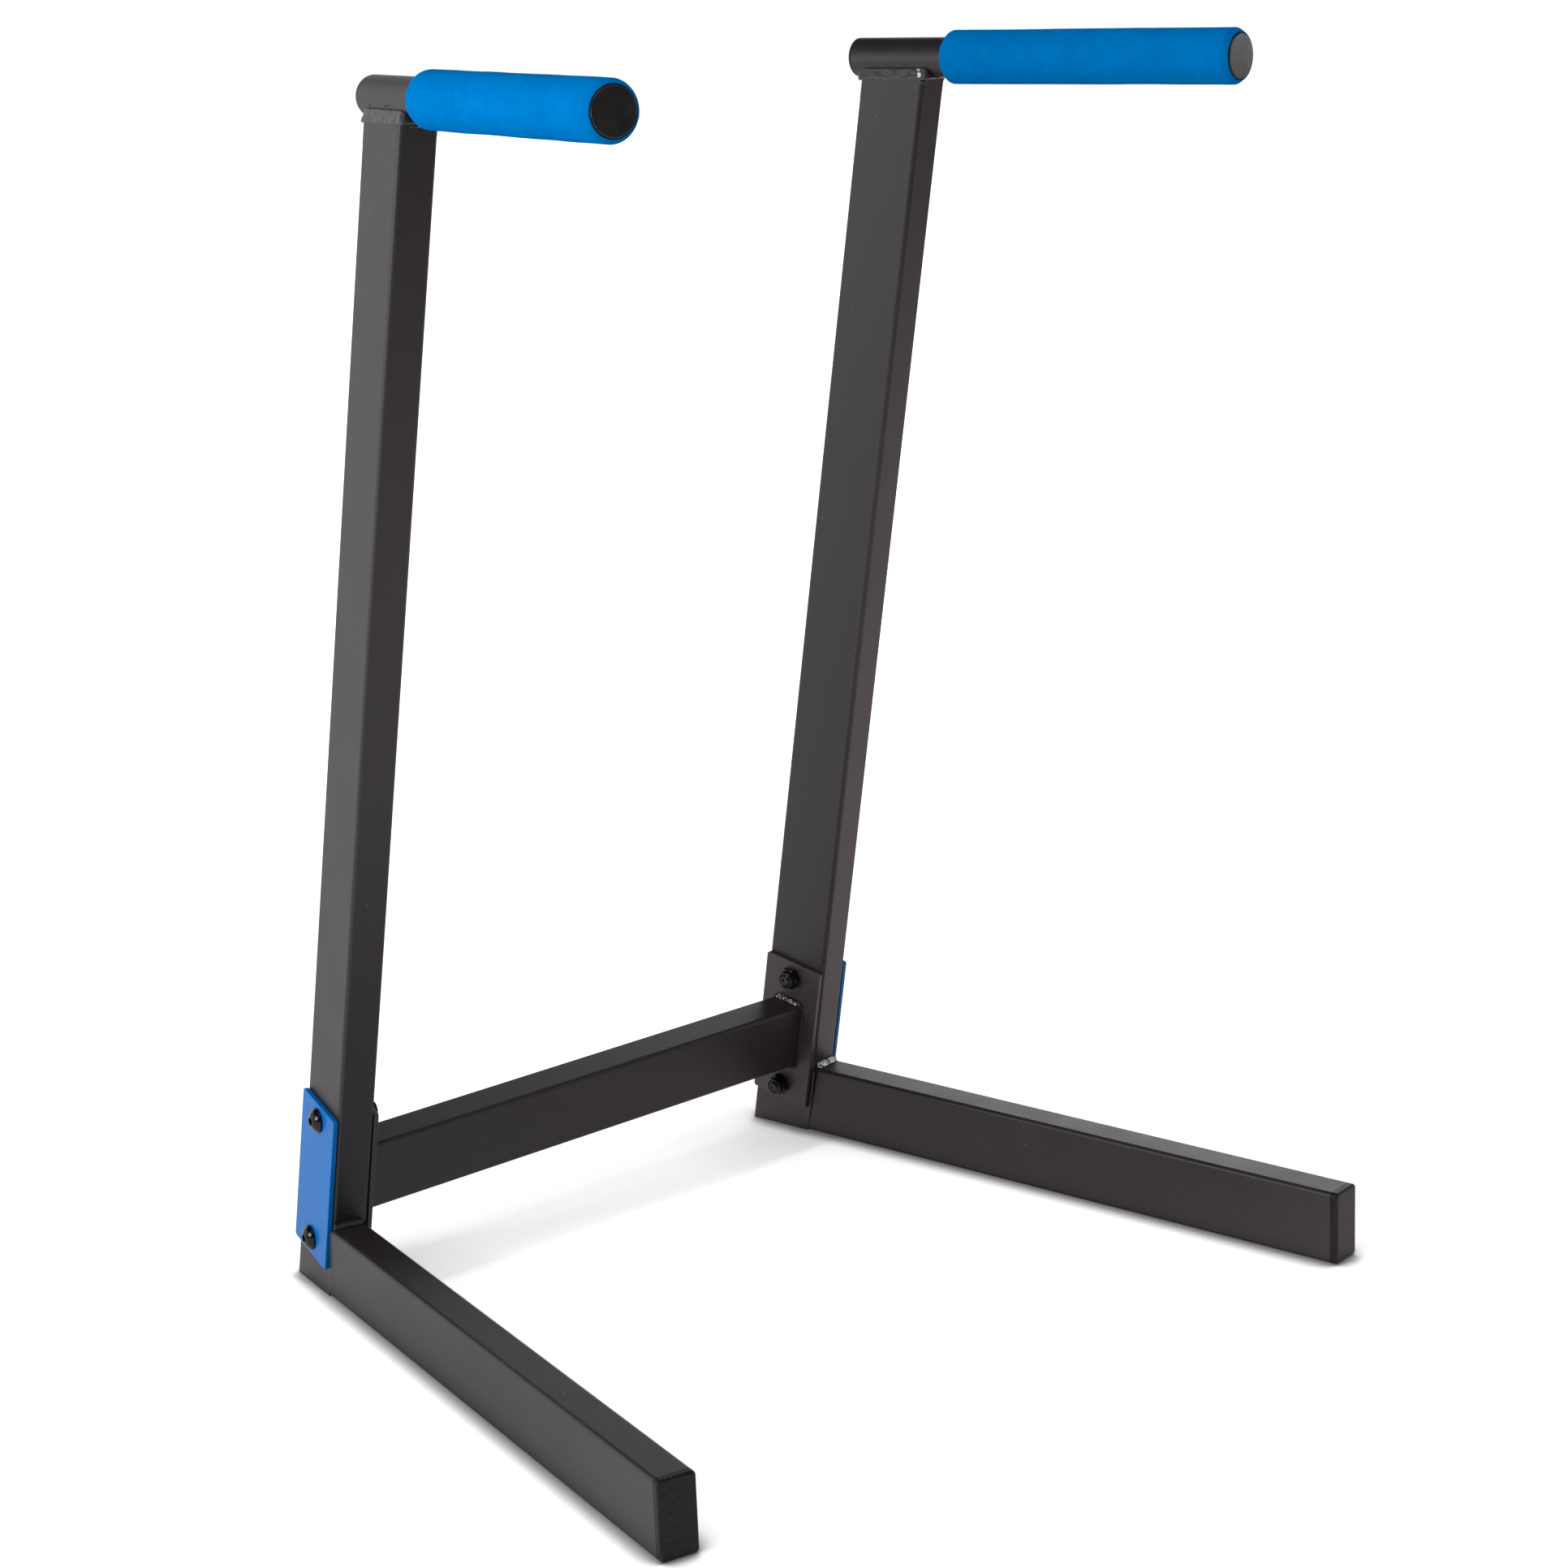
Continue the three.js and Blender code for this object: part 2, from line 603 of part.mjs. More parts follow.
function crossbarFrame() {
  const side = sides.right;
  const axis = new THREE.Vector3(0, 0, 1).transformDirection(uprightMatrix(side));
  const centre = flangePoint(side);
  const frame = new THREE.Group();
  frame.position.set(0, centre.y, centre.z);
  frame.rotation.x = Math.atan2(-axis.y, axis.z);
  frame.updateMatrix();
  return frame;
}

function uprightMatrix(side) {
  const frame = sideFrame(side);
  const upright = uprightFrame(side);
  frame.add(upright);
  frame.updateMatrixWorld();
  return upright.matrixWorld;
}

// Middle of the crossbar flange's inner face.
function flangePoint(side) {
  const local = new THREE.Vector3(-side * plateFace, -TUBE_DEPTH / 2, PLATE_CENTRE_HEIGHT);
  return local.applyMatrix4(uprightMatrix(side));
}

// X, in the crossbar's frame, at which its line (y, z) comes within a distance of the flange.
function flangeAt(side, distance) {
  const normal = new THREE.Vector3(-side, 0, 0).transformDirection(uprightMatrix(side));
  const face = new THREE.Plane().setFromNormalAndCoplanarPoint(normal, flangePoint(side));
  face.applyMatrix4(crossbarFrame().matrix.invert());
  const { normal: facing, constant } = face;
  return (y, z) => (distance - constant - facing.y * y - facing.z * z) / facing.x;
}

function crossbarTube() {
  const startAt = flangeAt(sides.left, SEAT_GAP);
  const endAt = flangeAt(sides.right, SEAT_GAP);
  return layAlongX(trimmedPrism(tubeSection(), startAt, endAt));
}

// Fillet bead round the crossbar's end: loops round the bar at distances from the flange.
function crossbarBead(side) {
  const crown = SEAT_GAP + BAR_BEAD * BEAD_CROWN_SHARE;
  const full = SEAT_GAP + BAR_BEAD;
  const profile = [
    [SEAT_GAP, SEAT_GAP],
    [SEAT_GAP, full],
    [crown, crown],
    [full, SEAT_GAP + BEAD_EDGE],
    [full, SEAT_GAP],
  ];
  return loft(profile.map(([distance, offset]) => barLoop(side, distance, offset)), true);
}

// Loop round the bar, closer to the bar and the flange along its front and back.
function barLoop(side, distance, offset) {
  const thin = (size) => SEAT_GAP + (size - SEAT_GAP) * BAR_BEAD_SIDE_SHARE;
  const width = TUBE_WIDTH + 2 * thin(offset);
  const depth = TUBE_DEPTH + 2 * offset;
  const outline = roundedOutline(width, depth, TUBE_CORNER_RADIUS + offset);
  const flatDepth = TUBE_DEPTH / 2 - TUBE_CORNER_RADIUS;
  return outline.map(({ x: y, y: z }) => {
    const turn = THREE.MathUtils.clamp((Math.abs(z) - flatDepth) / TUBE_CORNER_RADIUS, 0, 1);
    const here = THREE.MathUtils.lerp(thin(distance), distance, turn);
    return new THREE.Vector3(flangeAt(side, here)(y, z), y, z);
  });
}

// Assembly

function addJoint(upright, name, side) {
  const middle = -TUBE_DEPTH / 2;
  upright.add(piece(`${name}_outer_plate`, jointPlate(side, 1), 'blue_coat'));
  upright.add(piece(`${name}_crossbar_flange`, jointPlate(side, -1), 'powder_coat'));
  for (const [level, offset] of Object.entries(boltOffsets)) {
    const bolt = piece(`${name}_${level}_button_bolt`, buttonBolt(), 'black_steel');
    bolt.rotation.z = (-side * Math.PI) / 2;
    bolt.position.set(0, middle, PLATE_CENTRE_HEIGHT + offset);
    const nutSeat = new THREE.Group();
    nutSeat.rotation.z = (side * Math.PI) / 2;
    nutSeat.position.set(-side * (plateFace + SEAT_GAP), middle, PLATE_CENTRE_HEIGHT + offset);
    nutSeat.add(piece(`${name}_${level}_lock_nut`, lockNut(), 'black_steel'));
    nutSeat.add(piece(`${name}_${level}_nut_insert`, nutInsert(), 'black_nylon'));
    upright.add(bolt, nutSeat);
  }
}

function addHandle(frame, name, side) {
  const handle = new THREE.Group();
  const stations = handleStations(side);
  handle.position.set(handleOffset(side), 0, HANDLE_HEIGHT);
  handle.add(piece(`${name}_handle_tube`, handleTube(stations), 'powder_coat'));
  handle.add(piece(`${name}_foam_grip`, foamGrip(stations), 'blue_foam'));
  handle.add(piece(`${name}_handle_front_plug`, frontPlug(stations), 'black_plastic'));
  handle.add(piece(`${name}_handle_rear_plug`, rearPlug(stations), 'black_plastic'));
  frame.add(handle);
}

function sideAssembly(name, side) {
  const frame = sideFrame(side);
  const upright = uprightFrame(side);
  upright.add(piece(`${name}_upright_tube`, uprightTube(side), 'powder_coat'));
  upright.add(piece(`${name}_handle_weld`, handleBead(side), 'powder_coat'));
  addJoint(upright, name, side);
  frame.add(upright);
  frame.add(piece(`${name}_leg_tube`, legTube(side), 'powder_coat'));
  frame.add(piece(`${name}_leg_end_cap`, legCap(), 'black_plastic'));
  frame.add(piece(`${name}_leg_weld`, legBead(side), 'powder_coat'));
  addHandle(frame, name, side);
  return frame;
}

function crossbarAssembly() {
  const frame = crossbarFrame();
  frame.add(piece('crossbar_tube', crossbarTube(), 'powder_coat'));
  for (const [name, side] of Object.entries(sides)) {
    frame.add(piece(`${name}_crossbar_weld`, crossbarBead(side), 'powder_coat'));
  }
  return frame;
}

const station = new THREE.Group();
for (const [name, side] of Object.entries(sides)) station.add(sideAssembly(name, side));
station.add(crossbarAssembly());

// Brings the origin under the middle of the station.
const extent = new THREE.Box3().setFromObject(station, true);
station.position.y = -(extent.min.y + extent.max.y) / 2;

export default station;
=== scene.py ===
"""Dip station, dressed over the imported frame.

Rounded tubes, bolted joints, rippled welds and foam grips. Lengths are in millimetres while a
piece is being shaped, and in metres once it is in its place.
"""

import math
import random

import bpy
from mathutils import Matrix, Vector, noise


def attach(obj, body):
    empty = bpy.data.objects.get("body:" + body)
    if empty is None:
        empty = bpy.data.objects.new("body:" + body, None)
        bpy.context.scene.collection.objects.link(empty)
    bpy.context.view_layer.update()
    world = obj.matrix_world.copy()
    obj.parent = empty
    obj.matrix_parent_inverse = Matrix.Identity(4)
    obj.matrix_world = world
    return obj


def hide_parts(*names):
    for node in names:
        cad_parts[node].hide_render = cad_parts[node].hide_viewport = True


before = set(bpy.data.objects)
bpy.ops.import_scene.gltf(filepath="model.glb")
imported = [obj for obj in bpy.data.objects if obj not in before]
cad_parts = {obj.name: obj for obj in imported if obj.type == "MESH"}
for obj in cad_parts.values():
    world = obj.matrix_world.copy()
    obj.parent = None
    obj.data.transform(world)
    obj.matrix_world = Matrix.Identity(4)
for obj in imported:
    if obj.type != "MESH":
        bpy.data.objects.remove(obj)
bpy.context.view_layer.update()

MM = 0.001
SIDES = {"left": -1, "right": 1}

# Layout, as in the part's source
HANDLE_HEIGHT = 935
HALF_SPACING = 241
REAR_EDGE_Y = 295.783
SPLAY = math.radians(9.6)
TILT = math.radians(11.9)
LEAN = math.radians(2.6)
LEG_REACH = 600
GAP = 0.3

# Modelling: a turned piece's radius at its poles, how far apart points still share a place,
# how close to one a cosine is that means aligned, and how near points are merged
POLE = 0.05
NEAR = 0.01
ALIGNED = 0.9
TURNED_MERGE = 0.002
BEAD_MERGE = 0.001

# Rectangular tube, and the longer blanks that its pieces are sawn from
TUBE_WIDTH = 30
TUBE_DEPTH = 60
TUBE_WALL = 2
TUBE_CORNER = 3.5
CORNER_STEPS = 6
UPRIGHT_BLANK = (-60, 1020)
LEG_BLANK_SPARE = 20
BAR_BLANK_HALF = 260
FLOOR_LIFT = 0.05

# Leg caps
CAP_FLANGE = 6
CAP_EDGE = 2.2
CAP_EDGE_STEPS = 5
CAP_SPIGOT = 20
CAP_WALL = 2

# Handles: stations are in the handle's frame, and the foam's skin has waves of
# (wavelength, height)
HANDLE_RADIUS = 15
HANDLE_WALL = 2
HANDLE_OFFSET = HANDLE_HEIGHT * math.tan(LEAN)
HANDLE_STEPS = 96
HANDLE_REAR = -185.0
GRIP_REAR = -271.8
GRIP_LENGTH = 260
GRIP_FRONT = GRIP_REAR - GRIP_LENGTH
GRIP_RADIUS = 20.5
GRIP_CHAMFER = 5
GRIP_STEPS = 112
GRIP_RINGS = 62
SKIN_WAVES = ((34, 0.22), (7, 0.07))
SKIN_SINK = 0.12
PLUG_RADIUS = 16.25
PLUG_PROUD = 0.8
PLUG_FLANGE = 4
PLUG_EDGE = 0.9
PLUG_SPIGOT = 18
PLUG_WALL = 2
PLUG_HOLLOW = 1.5
POCKET_GAP = 0.6
REAR_PLUG_FLANGE = 1.4
REAR_PLUG_EDGE = 1.0
HANDLE_FRONT = GRIP_FRONT - PLUG_PROUD + PLUG_FLANGE + GAP

# Bolted joint
PLATE_LENGTH = 135
PLATE_WIDTH = 59
PLATE_THICKNESS = 4
PLATE_CORNER = 2.4
PLATE_EDGE = 0.6
PLATE_EDGE_STEPS = 3
PLATE_HEIGHT = 103
PLATE_SEAT = TUBE_WIDTH / 2 + GAP
PLATE_FACE = PLATE_SEAT + PLATE_THICKNESS
HOLE_CLEARANCE = 0.25
DRILL_SPARE = 5
DRILL_STEPS = 48
BOLT_OFFSETS = {"upper": 53.5, "lower": -53.5}
BOLT_RADIUS = 5
BOLT_STEPS = 64
BOLT_TIP = 30.6
THREAD_PITCH = 1.5
THREAD_DEPTH = 0.7
THREAD_TURNS = 9
HEAD_RADIUS = 10
HEAD_HEIGHT = 5.8
HEAD_RIM = 1.2
HEAD_FLAT = 3.8
DOME_STEPS = 9
SOCKET_FLATS = 6
SOCKET_DEPTH = 3.2
NUT_FLATS = 17
NUT_HEX = 6
NUT_CHAMFER = 1.0
NUT_COLLAR = 15.4
NUT_HEIGHT = 10
NUT_STEPS = 72
RING_RADII = (5.1, 5.7)
RING_DEPTHS = (-2, -0.3)

# Crossbar: the middles of the flanges' inner faces, and its turn with the uprights
BAR_Y = 241.966
BAR_Z = 93.628
BAR_TURN = math.radians(12.16)

# Weld beads: crescents that sway by (wavelength, distance) and bend off the bead's middle, a
# skin roughened by (wavelength, share of its height), and the handle's bead, which is cut off
# below a level and ends at a station
RIPPLE_SWAY = (4, 1.1)
RIPPLE_BEND = 0.05
BEAD_WAVES = ((2.2, 1.1), (6, 2.4))
HANDLE_BEAD_LOWEST = 918.2
HANDLE_BEAD_FRONT = -251

# Drops round the handle's bead: their count, radii, stations ahead of it and beside it, and
# angles in degrees from the handle's underside; then the lumps along its front edge
DROP_COUNT = 16
DROP_RADII = (0.3, 0.75)
DROPS_AHEAD = (-268, -257)
DROPS_BESIDE = (-250, -195)
DROP_SPREAD = 65
DROP_FLANKS = (58, 84)
LUMP_PLACES = range(-13, 14, 2)
LUMP_RADII = (1.3, 2.2)
LUMP_SCATTER = 0.7
LUMP_AHEAD = 1.8
LUMP_BELOW = 2.4

# Dressed seams down the leg's joint: depth into the tube, rise, reach each way, wandering
SEAM_DEPTH = 1.2
SEAM_RISE = 0.1
SEAM_FRONT = -2.6
SEAM_REAR = 3.2
SEAM_EDGE = 0.09
SEAM_LIFT = 0.3
SEAM_SHORT = 0.5
SEAM_CUTS = 60
SEAM_SWAY = (7, 0.5)
SEAM_WAVES = (2.5, 0.05)

# Where the coat missed the welds, and glints are painted as bright flecks: (place across the
# leg, reach), (centre in the handle's frame, reach, most), and places on the crossbar's weld
LEG_BARE_AND_GLINTS = {"left": ((-14, 3.5),), "right": ((-12, 11), (-2, 11), (8, 11), (14, 8))}
LEG_BARE_AND_GLINT_MOST = 1.3
HANDLE_BARE_AND_GLINTS = {
    "left": (((-12, -252, -12), 3, 0.8), ((0, -255, -19), 3, 0.8)),
    "right": (
        ((-13, -251, -8), 3.4, 0.85),
        ((-14, -252, -13), 3.4, 0.9),
        ((-8, -254, -18), 3, 0.8),
        ((1, -255, -20), 4, 0.85),
        ((10, -255, -19), 4, 0.9),
    ),
}
BAR_BARE_AND_GLINT_INSET = 20
BAR_BARE_AND_GLINT_TOP = (-8, -3, 3, 8)

# Colours that finishes share
WHITE = (1, 1, 1, 1)
# Bare steel's white, also used for painted glints on the welds
BARE_STEEL_AND_GLINT = (0.94, 0.93, 0.92, 1)
COAT_SPECK = (0.38, 0.36, 0.35, 1)
# The thin coat's colour on roundings: partly wear, partly a painted edge highlight
THIN_COAT_AND_EDGE_HIGHLIGHT = (0.085, 0.08, 0.083, 1)
PLASTIC_SCUFF = (0.06, 0.058, 0.062, 1)
PLASTIC_DUST = (0.2, 0.2, 0.21, 1)

# Floor, in metres: its size, its gain for the camera, and its glow far off. A range is
# (from, to), with its own levels at both ends where four numbers are given.
FLOOR_SIZE = 24
FLOOR_DROP = 0.0004
FLOOR_GREY = (0.8, 0.8, 0.8, 1)
FLOOR_GAIN = 1.72
FAR_GLOW = (0.9, 2.2, 0.42, 1.0)

# Its close shadows, painted from ambient occlusion: at what stands on it, and behind the
# crossbar within a patch
SHADOW_SAMPLES = 8
CONTACT_REACH = 0.026
CONTACT = (0.5, 0.92, 0.2, 1.0)
BAR_SHADE_Y = 0.286
BAR_SHADE_DEPTH = (0.055, 0.1)
BAR_SHADE_WIDTH = (0.25, 0.27)
BAR_SHADE_REACH = 0.13
BAR_SHADE = (0.78, 0.93, 0.76, 1.0)

# What gloss reflects of it: a lit pool, dimmer under the station, a spot in front of it, and
# a warmer right side
POOL_CENTRE = (-1.935, 7.762, 0)
POOL_EDGE = (9.11, 9.91, 1.07, 0.05)
POOL_DIP = (0.2, 0.52, 0.5, 0.0)
SPOT_CENTRE = (0.1, -0.52, 0)
SPOT_EDGE = (0.1, 0.36, 0.5, 0.0)
WARM_FROM = (-0.35, 0.35)
WARM_WHITE = (1.17, 1.02, 1.0, 1)

# Room, as gloss reflects it: a low back wall, and panels (azimuth, elevation, reach, level)
ROOM_LEVEL = 0.38
WALL_TOP = (0.358, 0.518)
WALL_SIDES = (0.4, 0.75)
WALL_AZIMUTH = 104
WALL_LEVEL = 1.19
PANEL_SOFTNESS = 0.6
PANELS = (
    (22, 21, 31, 1.2),
    (217, 63.5, 27.7, 1.28),
    (292, 30, 22, 1.0),
    (336, 0, 18, 2.3),
)

# Lamps: name, place, aim, size in metres and power in watts
LAMPS = (
    ("left", (-2.4, 0.4, 0.9), (0, 0, 0.5), (0.9, 0.9), 25),
    ("overhead", (-1.4, -0.3, 2.5), (0, 0, 0.5), (1.0, 1.0), 7),
    ("rim", (2.1, 1.5, 0.9), (0.3, 0, 0.1), (0.9, 0.6), 3.3),
)

# Camera: lens and sensor in millimetres, place in metres, and azimuth, elevation and roll
CAMERA_LENS = 75.083
CAMERA_SENSOR = 36
CAMERA_REACH = 60
CAMERA_PLACE = (-1.545015, -1.841144, 1.051265)
CAMERA_ANGLES = (-40.517, 14.9937, -2.3204)

dice = random.Random(20611)


# Frames that the pieces are shaped in


def side_frame(side):
    """Floor level at the upright's rear bottom edge, -Y along the leg."""
    foot = Matrix.Translation((side * HALF_SPACING, REAR_EDGE_Y, 0))
    return foot @ Matrix.Rotation(side * SPLAY, 4, "Z")


def upright_frame(side):
    """Z up along the upright, whose section spans its depth towards -Y."""
    lean = Matrix.Rotation(-side * LEAN, 4, "Y")
    return side_frame(side) @ lean @ Matrix.Rotation(TILT, 4, "X")


def handle_frame(side):
    """On the handle's axis, -Y towards the grip's front."""
    axis = Matrix.Translation((-side * HANDLE_OFFSET, 0, HANDLE_HEIGHT))
    return side_frame(side) @ axis


def bar_frame():
    """Along the crossbar's axis, X towards the right frame."""
    turn = Matrix.Rotation(BAR_TURN, 4, "X")
    return Matrix.Translation((0, BAR_Y, BAR_Z)) @ turn


def joint_frame(side, height=PLATE_HEIGHT, outward=1):
    """At the middle of the joint on the upright's axis, X pointing out of the plate."""
    turn = Matrix.Rotation(0 if side * outward > 0 else math.pi, 4, "Z")
    return upright_frame(side) @ Matrix.Translation((0, -TUBE_DEPTH / 2, height)) @ turn


# Modelling steps


def activate(piece):
    """Makes the piece the only selected object."""
    bpy.ops.object.select_all(action="DESELECT")
    piece.select_set(True)
    bpy.context.view_layer.objects.active = piece


def pick(piece, kind, chosen):
    """Opens the piece in edit mode with only the chosen vertices, edges or faces selected."""
    activate(piece)
    bpy.ops.object.mode_set(mode="EDIT")
    bpy.ops.mesh.select_mode(type=kind)
    bpy.ops.mesh.select_all(action="DESELECT")
    bpy.ops.object.mode_set(mode="OBJECT")
    mesh = piece.data
    if kind == "FACE":
        for face in mesh.polygons:
            face.select = chosen(face.center, face.normal)
    elif kind == "EDGE":
        for edge in mesh.edges:
            a, b = (mesh.vertices[index].co for index in edge.vertices)
            edge.select = chosen(a, b)
    else:
        for vertex in mesh.vertices:
            vertex.select = chosen(vertex.co)
    bpy.ops.object.mode_set(mode="EDIT")


def close(piece):
    """Leaves edit mode."""
    bpy.ops.object.mode_set(mode="OBJECT")
    return piece


def apply_modifier(piece, kind, **settings):
    """Adds a modifier and applies it at once."""
    activate(piece)
    modifier = piece.modifiers.new(kind.lower(), kind)
    for name, value in settings.items():
        setattr(modifier, name, value)
    bpy.ops.object.modifier_apply(modifier=modifier.name)
    return piece


def settle(piece):
    """Puts the object's place, turn and scale into its mesh."""
    activate(piece)
    bpy.ops.object.transform_apply(location=True, rotation=True, scale=True)
    return piece


def block(name, low, high):
    """A solid block between two corners."""
    low, high = Vector(low), Vector(high)
    bpy.ops.mesh.primitive_cube_add(size=1, location=(low + high) / 2)
    piece = bpy.context.object
    piece.name = name
    piece.scale = high - low
    return settle(piece)


def mark_worn_and_highlight(piece):
    """Marks the points inside the selected faces as edge, where the finish wears and an edge
    highlight is painted.
    """
    mesh = piece.data
    worn_and_highlight = mesh.attributes.get("worn_and_highlight") or mesh.attributes.new("worn_and_highlight", "FLOAT", "POINT")
    inside = [True] * len(mesh.vertices)
    for face in mesh.polygons:
        if not face.select:
            for index in face.vertices:
                inside[index] = False
    for index, is_inside in enumerate(inside):
        if is_inside:
            worn_and_highlight.data[index].value = 1


def round_edges(piece, radius, steps, chosen):
    """Rounds the chosen edges and marks the rounding for wear and a painted edge highlight."""
    pick(piece, "EDGE", chosen)
    bpy.ops.mesh.bevel(offset=radius, segments=steps, affect="EDGES")
    close(piece)
    mark_worn_and_highlight(piece)
    return piece


def along(axis):
    """Chooses the edges that run along an axis."""
    return lambda a, b: abs((b - a).normalized()[axis]) > ALIGNED


def every(*parts):
    """Chooses all vertices, edges or faces."""
    return True


def saw(piece, point, normal, hollow=True):
    """Cuts off what lies beyond a plane and closes the cut."""
    pick(piece, "FACE", every)
    bpy.ops.mesh.bisect(
        plane_co=point, plane_no=normal, clear_outer=True, use_fill=not hollow
    )
    if hollow:
        bpy.ops.mesh.bridge_edge_loops()
    return close(piece)


def cut(piece, cutter, operation="DIFFERENCE"):
    """Cuts one closed shape with another, which is used up."""
    settings = {"object": cutter, "operation": operation, "solver": "EXACT"}
    apply_modifier(piece, "BOOLEAN", **settings)
    bpy.data.objects.remove(cutter)
    return piece


def turned(name, outline, steps, closed=False):
    """Turns a piece on the Z axis: each point of the outline is (radius, height)."""
    radius, height = outline[0]
    bpy.ops.mesh.primitive_circle_add(
        vertices=steps, radius=radius, location=(0, 0, height)
    )
    piece = settle(bpy.context.object)
    piece.name = name
    pick(piece, "EDGE", every)
    if not closed:
        bpy.ops.mesh.edge_face_add()
    rest = list(outline[1:]) + ([outline[0]] if closed else [])
    for next_radius, next_height in rest:
        bpy.ops.mesh.extrude_edges_move(
            TRANSFORM_OT_translate={"value": (0, 0, next_height - height)}
        )
        grow = next_radius / radius
        bpy.ops.transform.resize(
            value=(grow, grow, 1), center_override=(0, 0, next_height)
        )
        radius, height = next_radius, next_height
    if not closed:
        bpy.ops.mesh.edge_face_add()
    bpy.ops.mesh.select_all(action="SELECT")
    bpy.ops.mesh.remove_doubles(threshold=TURNED_MERGE)
    bpy.ops.mesh.normals_make_consistent(inside=False)
    return close(piece)


def rounded_outline(points, steps=4):
    """An outline whose corners (radius, height, fillet) are rounded by their fillets."""
    outline = []
    count = len(points)
    for index, (radius, height, fillet) in enumerate(points):
        here = Vector((radius, height))
        if not fillet:
            outline.append((radius, height))
            continue
        before = (Vector(points[index - 1][:2]) - here).normalized()
        after = (Vector(points[(index + 1) % count][:2]) - here).normalized()
        half = before.angle(after) / 2
        reach = fillet / math.tan(half)
        centre = here + (before + after).normalized() * fillet / math.sin(half)
        start, end = here + before * reach - centre, here + after * reach - centre
        for step in range(steps + 1):
            spot = centre + start.slerp(end, step / steps).normalized() * fillet
            outline.append((spot.x, spot.y))
    return outline


def smooth(piece, angle):
    """Shades roundings smooth and keeps the flats flat."""
    activate(piece)
    bpy.ops.object.shade_smooth_by_angle(angle=math.radians(angle))
    return apply_modifier(piece, "WEIGHTED_NORMAL", keep_sharp=True, weight=50)


def place(piece, matrix):
    """Moves a piece from its own millimetres to its place in the row frame, in metres."""
    piece.matrix_world = Matrix.Scale(MM, 4) @ matrix
    return settle(piece)


def dress(piece, material, slot, *nodes):
    """Gives a piece its finish, hangs it on the root body and hides the imported parts that it
    stands for.
    """
    piece.data.materials.clear()
    piece.data.materials.append(material)
    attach(piece, "root")
    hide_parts(*nodes)
    return piece


def finish(piece, matrix, material, slot, node, angle=35):
    """Shades a shaped piece, puts it in its place and dresses it."""
    smooth(piece, angle)
    place(piece, matrix)
    return dress(piece, material, slot, node)


def join(piece, others):
    """Joins other pieces into one."""
    activate(piece)
    for other in others:
        other.select_set(True)
    bpy.ops.object.join()
    return piece


# Node helpers


def put(tree, kind, inputs=None, **settings):
    """Adds a node: a socket given as an input is linked, and a value is set."""
    node = tree.nodes.new(kind)
    for name, value in settings.items():
        setattr(node, name, value)
    for name, value in (inputs or {}).items():
        if isinstance(value, bpy.types.NodeSocket):
            tree.links.new(value, node.inputs[name])
        else:
            node.inputs[name].default_value = value
    return node


def compute(tree, operation, first, second=0.0, third=None):
    """A Math node's result."""
    inputs = {0: first, 1: second}
    if third is not None:
        inputs[2] = third
    return put(tree, "ShaderNodeMath", inputs, operation=operation).outputs[0]


def blend_colour(tree, factor, first, second):
    """A colour between two."""
    inputs = {0: factor, 6: first, 7: second}
    return put(tree, "ShaderNodeMix", inputs, data_type="RGBA").outputs[2]


def fit_range(tree, value, from_low, from_high, to_low=0.0, to_high=1.0):
    """A value carried from one range to another, with its ends held."""
    inputs = {0: value, 1: from_low, 2: from_high, 3: to_low, 4: to_high}
    kind, curve = "ShaderNodeMapRange", "SMOOTHSTEP"
    return put(tree, kind, inputs, interpolation_type=curve).outputs[0]


def new_group(name, inputs, output):
    """A shader group with a Vector and named numbers going in and one value coming out."""
    tree = bpy.data.node_groups.new(name, "ShaderNodeTree")
    tree.interface.new_socket("Vector", in_out="INPUT", socket_type="NodeSocketVector")
    for label, default in inputs.items():
        socket = tree.interface.new_socket(
            label, in_out="INPUT", socket_type="NodeSocketFloat"
        )
        socket.default_value = default
    tree.interface.new_socket(output, in_out="OUTPUT", socket_type="NodeSocketFloat")
    return tree, tree.nodes.new("NodeGroupInput").outputs


def finish_group(tree, value):
    """Sends the value out of the group."""
    out = tree.nodes.new("NodeGroupOutput")
    tree.links.new(value, out.inputs[0])
    return tree


def use(tree, group, vector, **inputs):
    """Places a group and gives its output."""
    node = put(tree, "ShaderNodeGroup", node_tree=group)
    tree.links.new(vector, node.inputs["Vector"])
    for name, value in inputs.items():
        node.inputs[name].default_value = value
    return node.outputs[0]


def multiply(tree, first, second):
    """A product."""
    return compute(tree, "MULTIPLY", first, second)


def blend_values(tree, share, first, second):
    """Two values in one: the share is the first one's."""
    rest = multiply(tree, second, 1 - share)
    return compute(tree, "MULTIPLY_ADD", first, share, rest)


def lay_over(tree, colour, mask, share, other):
    """A colour with up to a share of another one where the mask says."""
    return blend_colour(tree, multiply(tree, mask, share), colour, other)


def per_metre(tree, size):
    """A texture's scale from the size of its patches in millimetres."""
    return compute(tree, "DIVIDE", 1 / MM, size)


def noise_field(tree, vector, scale, detail, roughness=0.5):
    """A noise texture's value."""
    inputs = {"Vector": vector, "Scale": scale, "Detail": detail, "Roughness": roughness}
    return put(tree, "ShaderNodeTexNoise", inputs).outputs[0]


# Shared effects


def build_clouds():
    """Soft patches, about Size millimetres across."""
    inputs = {"Size": 40.0, "Low": 0.35, "High": 0.65}
    tree, given = new_group("soft_clouds", inputs, "Value")
    field = noise_field(tree, given["Vector"], per_metre(tree, given["Size"]), 4.0, 0.55)
    return finish_group(tree, fit_range(tree, field, given["Low"], given["High"]))


